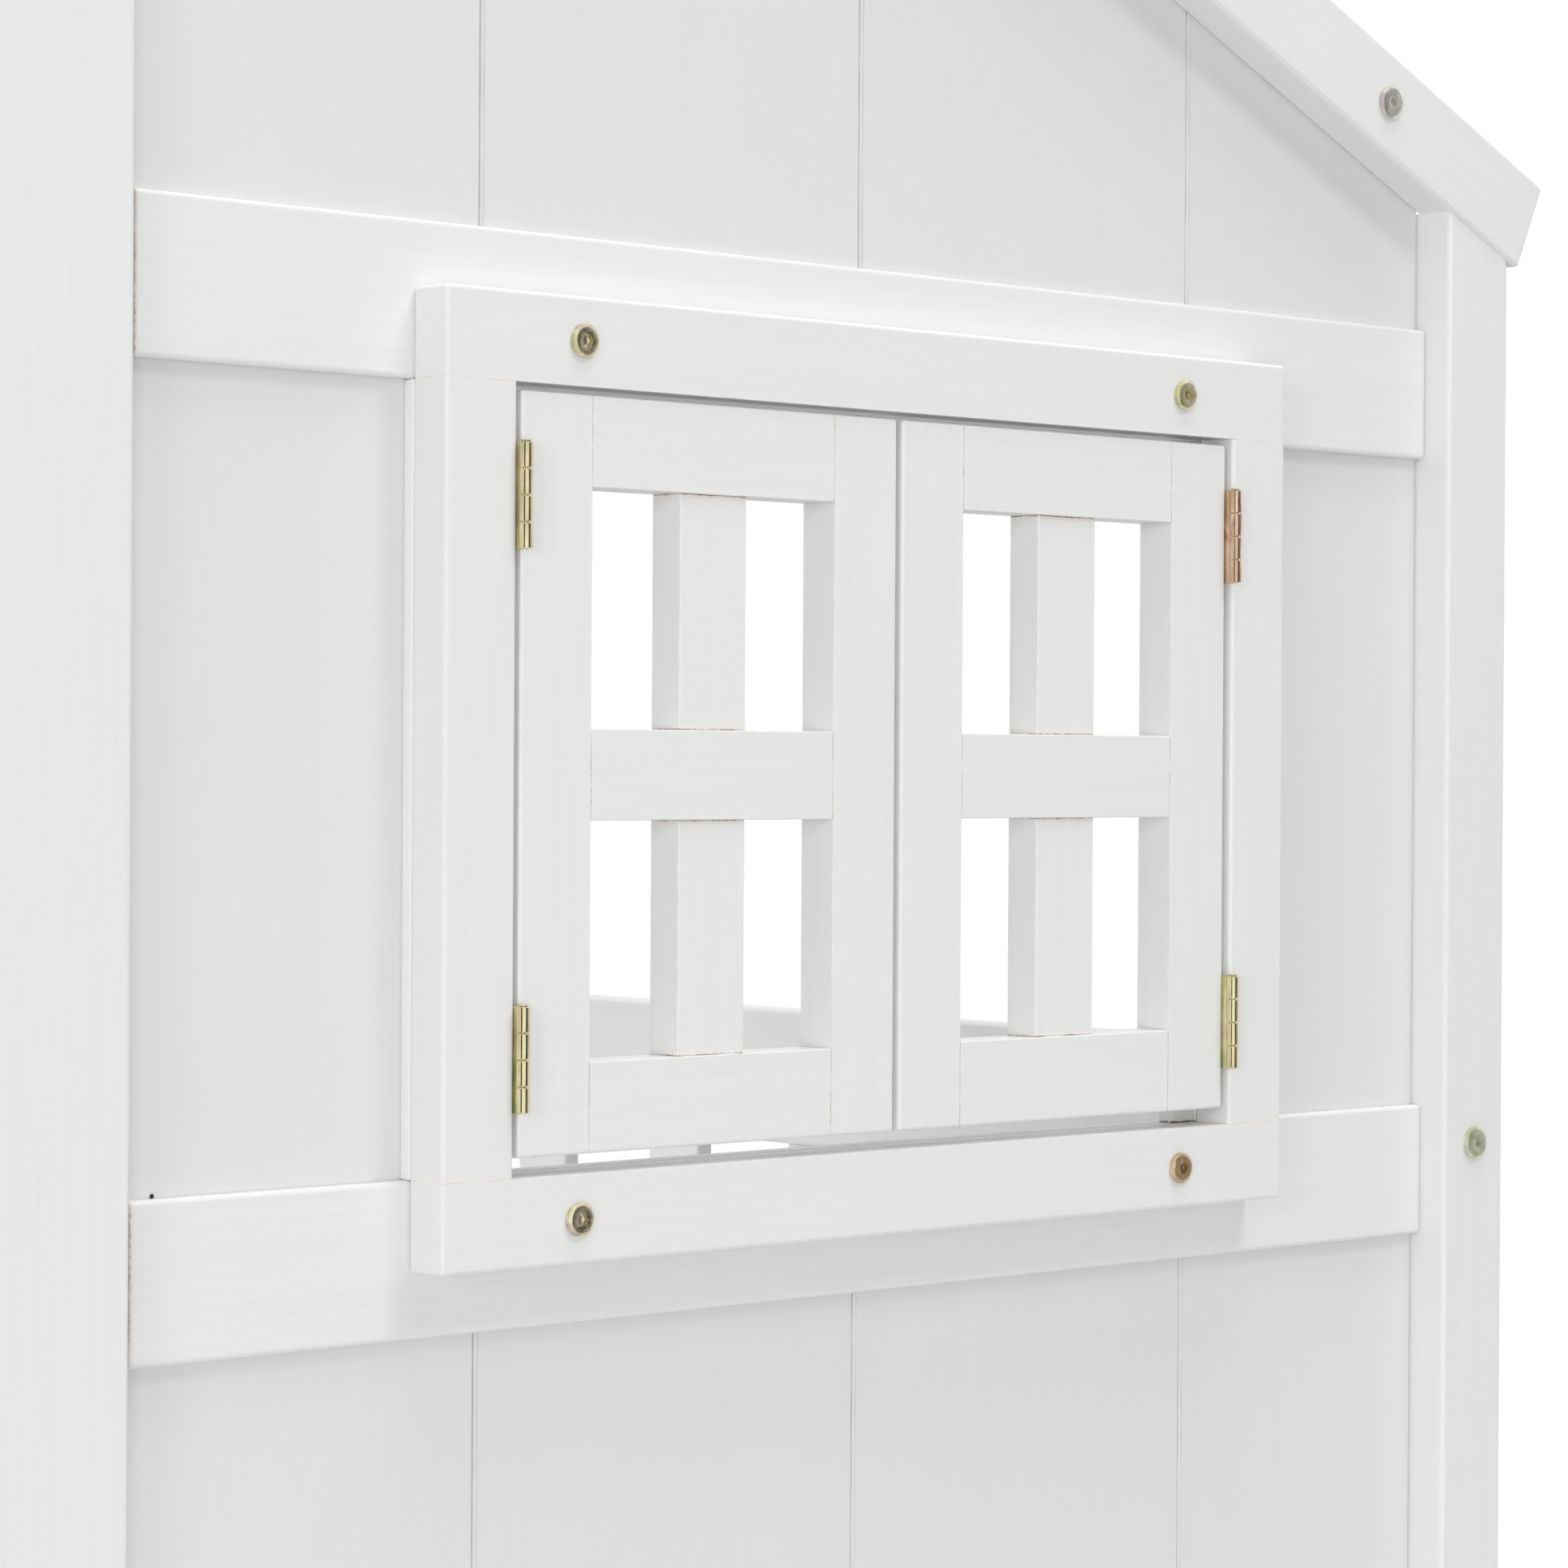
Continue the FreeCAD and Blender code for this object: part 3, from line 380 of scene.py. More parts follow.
@dataclass(frozen=True)
class Paint:
    """A sprayed paint on wood: colours as shown on a display, lengths in metres."""

    name: str
    colour: Colour
    streak_colour: Colour
    thin_colour: Colour = (0.940, 0.915, 0.875)
    # Raw end grain colour; the rest block's rough paint uses a dark one as painted shadow at the block's
    # lower end.
    raw_wood_and_shadow_colour: Colour = (0.52, 0.44, 0.37)
    roughness: float = 0.46
    roughness_spread: float = 0.12
    seam_colour: Colour = (0.55, 0.55, 0.54)
    # Near-white painted highlight laid along the edges of bars; its strength is set further down.
    edge_highlight_colour: Colour = (0.960, 0.958, 0.950)
    streak_share: float = 0.6
    relief: float = 0.26
    relief_depth: float = 0.35 * MM
    peel: float = 0.08
    arris_reach: float = 2.2 * MM
    groove_chamfer: float = 1.6 * MM
    seam_width: float = 0.8 * MM
    seam_share: float = 0.65
    edge_highlight_share: float = 0.6
    thin_share: float = 0.7

    def material(self, effects: Effects, timber: "Timber", seed: int) -> bpy.types.Material:
        """Make the paint for one timber.

        Args:
            effects: The shared shader groups.
            timber: The timber that wears it.
            seed: A number that shifts the grain pattern.

        Returns:
            The material.
        """
        desk, made = Desk.for_material(f"{self.name}_{timber.node}")
        place = desk.node("TexCoord").outputs["Object"]
        if timber.mirrored:
            parts = desk.node("SeparateXYZ", {0: place}).outputs
            place = desk.node("CombineXYZ", {0: desk.math("ABSOLUTE", parts[0]), 1: parts[1],
                                             2: parts[2]}).outputs[0]
        turned = desk.node("Mapping", {"Vector": place, "Rotation": timber.grain.turn()}).outputs[0]
        shifted = desk.shifted(turned, (0.731 * seed, 1.377 * seed, 0.519 * seed))
        low, high = timber.limits()
        start, stop = timber.sawn(low.x, high.x)
        grain = desk.group(effects.grain, {"Vector": shifted}).outputs
        end = desk.group(effects.timber_end, {
            "Vector": shifted, "Along": desk.node("SeparateXYZ", {0: turned}).outputs[0], "Low": start,
            "High": stop, "Raw Reach": timber.raw_reach, "Thin Reach": timber.thin_reach}).outputs
        handling = desk.group(effects.handling, {"Vector": shifted}).outputs
        colour = desk.mix(desk.math("MULTIPLY", grain["Streak"], self.streak_share), linear(self.colour),
                          linear(self.streak_colour))
        if timber.grooved:
            left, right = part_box(timber.node)
            seam = desk.group(effects.seam, {
                "Vector": shifted, "Across": desk.node("SeparateXYZ", {0: place}).outputs[0], "Edge": left.x,
                "Far Edge": right.x, "Chamfer": self.groove_chamfer, "Width": self.seam_width})
            colour = desk.mix(desk.math("MULTIPLY", seam.outputs["Mask"], self.seam_share), colour,
                              linear(self.seam_colour))
        # Painted highlight: a near-white line along the edges of the bar.
        if timber.painted_edge_highlight:
            arris = desk.group(effects.arris, {"Vector": turned, "Low": low, "High": high,
                                               "Reach": self.arris_reach})
            colour = desk.mix(desk.math("MULTIPLY", arris.outputs["Mask"], self.edge_highlight_share), colour,
                              linear(self.edge_highlight_colour))
        colour = desk.mix(desk.math("MULTIPLY", end["Thin"], self.thin_share), colour,
                          linear(self.thin_colour))
        # Raw end grain; on the rest block this lays painted shadow, a dark ragged band at its lower end.
        colour = desk.mix(desk.math("MULTIPLY", end["Raw"], timber.raw_wood_and_shadow_share), colour,
                          linear(self.raw_wood_and_shadow_colour))
        low_gloss = self.roughness - self.roughness_spread / 2
        roughness = desk.ramp(handling["Patches"], 0.3, 0.7, low_gloss, low_gloss + self.roughness_spread)
        height = desk.math("MULTIPLY_ADD", handling["Peel"], self.peel, grain["Height"])
        bump = desk.node("Bump", {"Strength": self.relief, "Distance": self.relief_depth, "Height": height})
        shader = desk.node("BsdfPrincipled", {"Base Color": colour, "Roughness": roughness,
                                              "Normal": bump.outputs[0], "IOR": 1.48})
        desk.node("OutputMaterial", {"Surface": shader.outputs[0]})
        return made


@dataclass(frozen=True)
class Plating:
    """Yellow passivated zinc plating on steel, which shifts between gold, green and rose."""

    name: str
    green: Colour = (0.72, 0.74, 0.55)
    gold: Colour = (0.86, 0.79, 0.58)
    pale: Colour = (0.95, 0.92, 0.76)
    rose: Colour = (0.86, 0.68, 0.60)
    steel: Colour = (0.66, 0.66, 0.66)
    colour_scale: float = 75.0
    stretch: Colour = (1.0, 1.0, 1.0)
    roughness: float = 0.26
    roughness_spread: float = 0.14
    speckle_scale: float = 2600.0
    speckle_shade: float = 0.86
    patch_scale: float = 420.0
    relief: float = 0.12
    relief_depth: float = 0.05 * MM

    def material(self, effects: Effects, seed: int) -> bpy.types.Material:
        """Make the plating of one batch.

        Args:
            effects: The shared shader groups.
            seed: A number that shifts the pattern.

        Returns:
            The material.
        """
        desk, made = Desk.for_material(f"{self.name}_{seed}")
        place = desk.node("TexCoord").outputs["Object"]
        shifted = desk.shifted(place, (0.613 * seed, 0.271 * seed, 0.847 * seed))
        cloud = desk.noise(desk.stretched(shifted, self.stretch), self.colour_scale, detail=3.0,
                           roughness=0.55, distortion=0.4)
        film = desk.node("ValToRGB", {0: cloud})
        stops = film.color_ramp.elements
        stops[0].position, stops[0].color = 0.34, linear(self.green)
        stops[1].position, stops[1].color = 0.68, linear(self.steel)
        for position, shade in ((0.44, self.gold), (0.51, self.pale), (0.60, self.rose)):
            stops.new(position).color = linear(shade)
        speckle = desk.ramp(desk.noise(shifted, self.speckle_scale, roughness=0.6), 0.3, 0.7,
                            low=self.speckle_shade)
        colour = desk.mix(1.0, film.outputs[0], speckle, "MULTIPLY")
        handling = desk.group(effects.handling, {"Vector": shifted}).outputs
        low_gloss = self.roughness - self.roughness_spread / 2
        patches = desk.noise(shifted, self.patch_scale, detail=3.0, roughness=0.6)
        roughness = desk.ramp(patches, 0.3, 0.7, low_gloss, low_gloss + self.roughness_spread)
        bump = desk.node("Bump", {"Strength": self.relief, "Distance": self.relief_depth,
                                  "Height": handling["Peel"]})
        shader = desk.node("BsdfPrincipled", {"Base Color": colour, "Roughness": roughness, "Metallic": 1.0,
                                              "Normal": bump.outputs[0]})
        desk.node("OutputMaterial", {"Surface": shader.outputs[0]})
        return made


TIMBER_PAINT = Paint("white_paint", colour=(0.930, 0.930, 0.929), streak_colour=(0.900, 0.900, 0.897))
PANEL_PAINT = Paint("panel_paint", colour=(0.898, 0.898, 0.900), streak_colour=(0.884, 0.884, 0.886),
                    roughness=0.52, relief=0.08, peel=0.25)
RAIL_PAINT = Paint("rail_paint", colour=(0.930, 0.930, 0.929), streak_colour=(0.900, 0.900, 0.897),
                   relief=0.4)
STRIP_PAINT = Paint("strip_paint", colour=(0.945, 0.943, 0.935), streak_colour=(0.925, 0.922, 0.910))
# The rough paint's dark raw colour is painted shadow: at the rest block's lower end it stands in for the
# shadow gap under the block.
ROUGH_PAINT = Paint("rough_paint", colour=(0.92, 0.918, 0.91), streak_colour=(0.84, 0.83, 0.80),
                    raw_wood_and_shadow_colour=(0.30, 0.28, 0.25), relief=0.5)
BOLT_ZINC = Plating("bolt_zinc", green=(0.80, 0.82, 0.66), gold=(0.90, 0.86, 0.66), pale=(0.97, 0.95, 0.84),
                    rose=(0.90, 0.82, 0.70), steel=(0.76, 0.78, 0.74), roughness=0.28)
BROWN_ZINC = Plating("brown_zinc", green=(0.80, 0.72, 0.56), gold=(0.88, 0.76, 0.60),
                     pale=(0.95, 0.88, 0.76), rose=(0.84, 0.68, 0.62), steel=(0.72, 0.62, 0.62),
                     roughness=0.30)
GREEN_ZINC = Plating("green_zinc", green=(0.84, 0.87, 0.76), gold=(0.90, 0.91, 0.76),
                     pale=(0.96, 0.97, 0.88), rose=(0.90, 0.90, 0.84), steel=(0.84, 0.87, 0.86),
                     roughness=0.42)
GREY_ZINC = Plating("grey_zinc", green=(0.80, 0.83, 0.83), gold=(0.90, 0.89, 0.85), pale=(0.97, 0.96, 0.92),
                    rose=(0.86, 0.80, 0.78), steel=(0.80, 0.83, 0.86), roughness=0.38)
HINGE_ZINC = Plating("hinge_zinc", green=(0.78, 0.80, 0.58), gold=(0.90, 0.87, 0.64),
                     pale=(0.97, 0.95, 0.78), rose=(0.93, 0.86, 0.70), steel=(0.84, 0.82, 0.66),
                     colour_scale=110.0, stretch=(1.0, 1.0, 0.3), roughness=0.14, roughness_spread=0.06)
DARK_STEEL = Plating("dark_steel", green=(0.30, 0.30, 0.28), gold=(0.36, 0.34, 0.30),
                     pale=(0.42, 0.40, 0.36), rose=(0.34, 0.30, 0.28), steel=(0.30, 0.30, 0.30),
                     roughness=0.5)
ROSY_ZINC = Plating("rosy_zinc", green=(0.84, 0.72, 0.58), gold=(0.90, 0.76, 0.64), pale=(0.96, 0.86, 0.76),
                    rose=(0.86, 0.64, 0.54), steel=(0.76, 0.64, 0.60), colour_scale=110.0,
                    stretch=(1.0, 1.0, 0.3), roughness=0.16, roughness_spread=0.08)


# ------------------------------------------------------------------ mesh tools
def merged_copy(node: str) -> bmesh.types.BMesh:
    """Copy a CAD node's mesh and join its loose triangles.

    Args:
        node: Name of the node.

    Returns:
        The copy, with flat faces made whole.
    """
    made = bmesh.new()
    made.from_mesh(frame["nodes"][node].data)
    bmesh.ops.remove_doubles(made, verts=made.verts, dist=SAME_PLACE)
    return made


def solids(node: str) -> list[bmesh.types.BMesh]:
    """Split a CAD node into its solids.

    Args:
        node: Name of the node.

    Returns:
        One mesh for each solid, from left to right and then upwards.
    """
    whole = merged_copy(node)
    group_of: dict[int, int] = {}
    for seed in whole.verts:
        if seed.index in group_of:
            continue
        waiting = [seed]
        group_of[seed.index] = seed.index
        while waiting:
            for edge in waiting.pop().link_edges:
                for vert in edge.verts:
                    if vert.index not in group_of:
                        group_of[vert.index] = seed.index
                        waiting.append(vert)
    found = []
    for group in sorted(set(group_of.values())):
        part = whole.copy()
        part.verts.ensure_lookup_table()
        gone = [vert for vert in part.verts if group_of[vert.index] != group]
        bmesh.ops.delete(part, geom=gone, context="VERTS")
        found.append(part)
    whole.free()
    return sorted(found, key=lambda part: tuple(round(c, 4) for c in middle(part).xzy))


def stored(mesh: bmesh.types.BMesh, name: str) -> bpy.types.Mesh:
    """Store a mesh.

    Args:
        mesh: The mesh. It is freed.
        name: Name of the stored mesh.

    Returns:
        The stored mesh.
    """
    data = bpy.data.meshes.new(name)
    mesh.to_mesh(data)
    mesh.free()
    return data


def added(name: str, data: bpy.types.ID) -> bpy.types.Object:
    """Add an object to the scene.

    Args:
        name: Name of the object.
        data: Its mesh, lamp or camera.

    Returns:
        The object.
    """
    made = bpy.data.objects.new(name, data)
    bpy.context.scene.collection.objects.link(made)
    return made


def join(made: bmesh.types.BMesh, other: bmesh.types.BMesh) -> None:
    """Add a second mesh to a mesh.

    Args:
        made: The mesh that grows.
        other: The mesh to add. It is freed.
    """
    data = stored(other, "joined")
    made.from_mesh(data)
    bpy.data.meshes.remove(data)


def corners(places: list[Vector]) -> tuple[Vector, Vector]:
    """Return the lowest and the highest corner of the box round some points."""
    return (Vector([min(place[axis] for place in places) for axis in range(3)]),
            Vector([max(place[axis] for place in places) for axis in range(3)]))


def extent(mesh: bmesh.types.BMesh) -> tuple[Vector, Vector]:
    """Return the lowest and the highest corner of a mesh."""
    return corners([vert.co for vert in mesh.verts])


def middle(mesh: bmesh.types.BMesh) -> Vector:
    """Return the middle of a mesh's box."""
    low, high = extent(mesh)
    return (low + high) / 2


def middle_of(node: str) -> Vector:
    """Return the middle of a CAD node's box."""
    low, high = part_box(node)
    return (low + high) / 2


def round_over(mesh: bmesh.types.BMesh, edges: list, width: float, segments: int = 2,
               clamp: bool = False) -> None:
    """Bevel some edges of a mesh, where clamp keeps neighbouring bevels from crossing."""
    bmesh.ops.bevel(mesh, geom=edges, offset=width, offset_type="OFFSET", segments=segments, profile=0.5,
                    affect="EDGES", clamp_overlap=clamp, material=-1)


def soften(mesh: bmesh.types.BMesh, width: float, angle: float = 35.0) -> None:
    """Bevel the sharp edges of a mesh.

    Args:
        mesh: The mesh to change.
        width: Width of the bevel.
        angle: Edges that turn by more degrees than this are sharp.
    """
    bmesh.ops.dissolve_limit(mesh, angle_limit=math.radians(1.0), verts=mesh.verts, edges=mesh.edges)
    sharp = [edge for edge in mesh.edges if len(edge.link_faces) == 2
             and edge.calc_face_angle() > math.radians(angle)]
    round_over(mesh, sharp, width, clamp=True)


def finished(mesh: bmesh.types.BMesh, name: str, body: str, material: bpy.types.Material,
             stands_for: tuple[str, ...] = ()) -> bpy.types.Object:
    """Turn a mesh into a piece of the house.

    Args:
        mesh: The mesh, in place. It is freed.
        name: Name of the piece.
        body: The CAD body that it rides on.
        material: What it is made of.
        stands_for: CAD nodes that it replaces.

    Returns:
        The piece.
    """
    data = stored(mesh, name)
    data.shade_smooth()
    data.set_sharp_from_angle(angle=math.radians(32.0))
    data.materials.append(material)
    piece = added(name, data)
    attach(piece, body)
    if stands_for:
        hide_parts(*stands_for)
    LOG.info("%s: %d faces, rides on %s", name, len(data.polygons), body)
    return piece


def dress(node: str, material: bpy.types.Material) -> None:
    """Give a CAD node its material in place of the plain one.

    Args:
        node: Name of the node.
        material: What it is made of.
    """
    data = frame["nodes"][node].data
    data.materials.clear()
    data.materials.append(material)
    LOG.info("%s: %s", node, material.name)


# ------------------------------------------------------------------ timbers
@dataclass
class Timber:
    """A painted timber, or several alike in one CAD node.

    raw_reach and thin_reach say how far raw wood and thin paint come in from its ends, in metres.
    """

    node: str
    grain: Grain
    paint: Paint = TIMBER_PAINT
    raw_reach: float = 0.35 * MM
    thin_reach: float = 2.0 * MM
    raw_wood_and_shadow_share: float = 0.5
    ends: Ends = Ends.BOTH
    mirrored: bool = False
    # Whether a painted highlight, a near-white line, runs along the bar's edges.
    painted_edge_highlight: bool = True
    grooved: bool = False

    def limits(self) -> tuple[Vector, Vector]:
        """Measure it along and across its grain.

        Returns:
            Its lowest and its highest corner.
        """
        turn = self.grain.turn().to_matrix()
        places = []
        for vert in frame["nodes"][self.node].data.vertices:
            place = vert.co.copy()
            if self.mirrored:
                place.x = abs(place.x)
            places.append(turn @ place)
        return corners(places)

    def sawn(self, low: float, high: float) -> tuple[float, float]:
        """Return where raw wood starts and stops, with an end that isn't sawn moved out of reach."""
        low_sawn, high_sawn = self.ends.value
        return low if low_sawn else low - OUT_OF_REACH, high if high_sawn else high + OUT_OF_REACH

    def paint_it(self, effects: Effects, seed: int) -> None:
        """Dress the timber in its paint, with the grain pattern shifted by the seed."""
        dress(self.node, self.paint.material(effects, self, seed))


@dataclass
class Facade:
    """The grooved front: posts, panel boards and the rails laid on them."""

    rail_raw_reach: float = 1.1 * MM
    rail_thin_reach: float = 5.0 * MM

    def timbers(self) -> list[Timber]:
        """List the posts, boards and rails.

        Returns:
            The timbers, each with its paint.
        """
        posts = ("left_front_post", "right_front_post", "centre_front_post", "centre_rear_post")
        found = [Timber(name, Grain.UPRIGHT, ends=Ends.NEITHER) for name in posts]
        found.append(Timber("rear_corner_posts", Grain.UPRIGHT, ends=Ends.NEITHER, painted_edge_highlight=False))
        boards = ["panel_centre_board", "panel_corner_board"]
        boards += [f"panel_{row}_{side}_board" for row in ("upper", "lower") for side in ("left", "right")]
        boards += [f"door_gable_board_{number}" for number in range(1, 5)]
        found += [Timber(name, Grain.UPRIGHT, PANEL_PAINT, ends=Ends.NEITHER, painted_edge_highlight=False, grooved=True)
                  for name in boards]
        found += [Timber(name, Grain.ACROSS, RAIL_PAINT, raw_reach=self.rail_raw_reach,
                         thin_reach=self.rail_thin_reach, ends=Ends.LOW)
                  for name in ("upper_rail", "lower_rail", "bottom_rail", "door_header_rail")]
        return found


@dataclass
class Window:
    """The window frame and its two shutters."""

    joint_raw_reach: float = 0.55 * MM
    muntin_raw_reach: float = 0.9 * MM
    muntin_thin_reach: float = 5.0 * MM

    def timbers(self) -> list[Timber]:
        """List the bars of the frame and the shutters.

        Returns:
            The timbers, each with its paint.
        """
        found = [Timber("window_head", Grain.ACROSS, ends=Ends.NEITHER),
                 Timber("window_sill", Grain.ACROSS, ends=Ends.NEITHER),
                 Timber("window_left_jamb", Grain.UPRIGHT, raw_wood_and_shadow_share=0.35),
                 Timber("window_right_jamb", Grain.UPRIGHT, raw_wood_and_shadow_share=0.35),
                 Timber("backing_strips", Grain.UPRIGHT, STRIP_PAINT, ends=Ends.NEITHER, painted_edge_highlight=False),
                 # The dark ragged band at the block's lower end is painted shadow of the gap under it.
                 Timber("shutter_rest_block", Grain.UPRIGHT, ROUGH_PAINT, raw_reach=1.6 * MM,
                        thin_reach=3.0 * MM, raw_wood_and_shadow_share=0.9, ends=Ends.LOW, painted_edge_highlight=False)]
        for side in ("left", "right"):
            for role in ("hinge", "meeting"):
                found.append(Timber(f"{side}_{role}_stile", Grain.UPRIGHT, ends=Ends.NEITHER))
            for role in ("bottom", "middle", "top"):
                found.append(Timber(f"{side}_{role}_crossbar", Grain.ACROSS, raw_reach=self.joint_raw_reach,
                                    thin_reach=1.2 * MM, raw_wood_and_shadow_share=0.8))
            for role in ("lower", "upper"):
                found.append(Timber(f"{side}_{role}_muntin", Grain.UPRIGHT, raw_reach=self.muntin_raw_reach,
                                    thin_reach=self.muntin_thin_reach, raw_wood_and_shadow_share=0.95))
        return found


@dataclass
class RoofAndRailings:
    """The open roof frame and the slatted railings."""

    def timbers(self) -> list[Timber]:
        """List the sloping, the deep and the upright timbers.

        Returns:
            The timbers, each with its paint.
        """
        sloping = [Timber(name, Grain.SLOPE, ends=Ends.NEITHER, mirrored=True)
                   for name in ("front_left_rake", "front_right_rake", "rear_rakes")]
        deep = [Timber(name, Grain.DEEP, ends=Ends.NEITHER, painted_edge_highlight=False)
                for name in ("purlins", "ridge_beam", "side_railing_boards")]
        slats = [Timber(name, Grain.UPRIGHT, ends=Ends.NEITHER, painted_edge_highlight=False)
                 for name in ("side_railing_slats", "rear_railing_slats")]
        return sloping + deep + slats + [Timber("rear_railing_boards", Grain.ACROSS, ends=Ends.NEITHER,
                                                mirrored=True, painted_edge_highlight=False)]


# ------------------------------------------------------------------ fittings
@dataclass
class BoltHeads:
    """Flat connector bolts with a wide chamfered rim and a hexagon socket, in place of a node's plain ones.

    name starts the names of the new bolts, which take the platings in turn.
    """

    node: str
    name: str
    plating: list[bpy.types.Material]
    socket_radius: float = 2.7 * MM
    head_height: float = 3.0 * MM
    rim_width: float = 1.7 * MM
    rim_drop: float = 1.0 * MM
    socket_depth: float = 2.6 * MM
    socket_point: float = 0.5 * MM
    shank_radius: float = 2.95 * MM
    soft_edge: float = 0.16 * MM
    soft_angle: float = 20.0
    segments: int = 48
    socket_sides: int = 6

    @staticmethod
    def ring(mesh: bmesh.types.BMesh, radius: float, segments: int) -> list[bmesh.types.BMEdge]:
        """Return the edges of a new ring round the Z axis, in the same order at every run."""
        verts = bmesh.ops.create_circle(mesh, cap_ends=False, radius=radius, segments=segments)["verts"]
        return list(dict.fromkeys(edge for vert in verts for edge in vert.link_edges))

    @staticmethod
    def step(mesh: bmesh.types.BMesh, ring: list, factor: float, drop: float) -> list:
        """Carry a ring of edges on: scaled about the axis, and lowered.

        Args:
            mesh: The mesh being built round the Z axis.
            ring: The edges to extrude.
            factor: Scale of the new ring.
            drop: How far it goes down.

        Returns:
            The new ring of edges.
        """
        grown = bmesh.ops.extrude_edge_only(mesh, edges=ring)["geom"]
        verts = [item for item in grown if isinstance(item, bmesh.types.BMVert)]
        bmesh.ops.scale(mesh, vec=(factor, factor, 1.0), verts=verts)
        bmesh.ops.translate(mesh, vec=(0.0, 0.0, -drop), verts=verts)
        return [item for item in grown if isinstance(item, bmesh.types.BMEdge)]

    def upright(self, radius: float, length: float) -> bmesh.types.BMesh:
        """Build a bolt that stands on the Z axis with its face at the origin and its shank downwards.

        Args:
            radius: Radius of the head.
            length: Length of the whole bolt.

        Returns:
            The mesh.
        """
        made = bmesh.new()
        face_radius = radius - self.rim_width
        rim = self.ring(made, face_radius, self.segments)
        mouth = self.ring(made, self.socket_radius, self.socket_sides)
        bmesh.ops.bridge_loops(made, edges=rim + mouth)
        ring = self.step(made, rim, radius / face_radius, self.rim_drop)
        ring = self.step(made, ring, 1.0, self.head_height - self.rim_drop)
        ring = self.step(made, ring, self.shank_radius / radius, 0.0)
        ring = self.step(made, ring, 1.0, length - self.head_height)
        bmesh.ops.holes_fill(made, edges=ring)
        ring = self.step(made, mouth, 1.0, self.socket_depth)
        ring = self.step(made, ring, 0.25, self.socket_point)
        bmesh.ops.holes_fill(made, edges=ring)
        bmesh.ops.recalc_face_normals(made, faces=made.faces)
        soften(made, self.soft_edge, self.soft_angle)
        return made

    def in_place(self, low: Vector, high: Vector) -> bmesh.types.BMesh:
        """Build a bolt in the box of a plain one, with its head away from the middle of the house.

        Args:
            low: Lowest corner of the box.
            high: Highest corner of the box.

        Returns:
            The mesh.
        """
        house = middle_of("ridge_beam")
        centre = (low + high) / 2
        size = high - low
        length = max(size)
        axis = list(size).index(length)
        across = (axis + 1) % 3
        outwards = Vector((0.0, 0.0, 0.0))
        outwards[axis] = 1.0 if centre[axis] > house[axis] else -1.0
        made = self.upright(size[across] / 2, length)
        turn = outwards.to_track_quat("Z", "X").to_matrix().to_4x4()
        bmesh.ops.transform(made, matrix=Matrix.Translation(centre + outwards * length / 2) @ turn,
                            verts=made.verts)
        return made

    def build(self) -> None:
        """Replace every bolt of the node."""
        body = body_of(frame["nodes"][self.node])[0]
        for number, part in enumerate(solids(self.node)):
            made = self.in_place(*extent(part))
            part.free()
            finished(made, f"{self.name}_{number + 1:02d}", body, self.plating[number % len(self.plating)],
                     () if number else (self.node,))


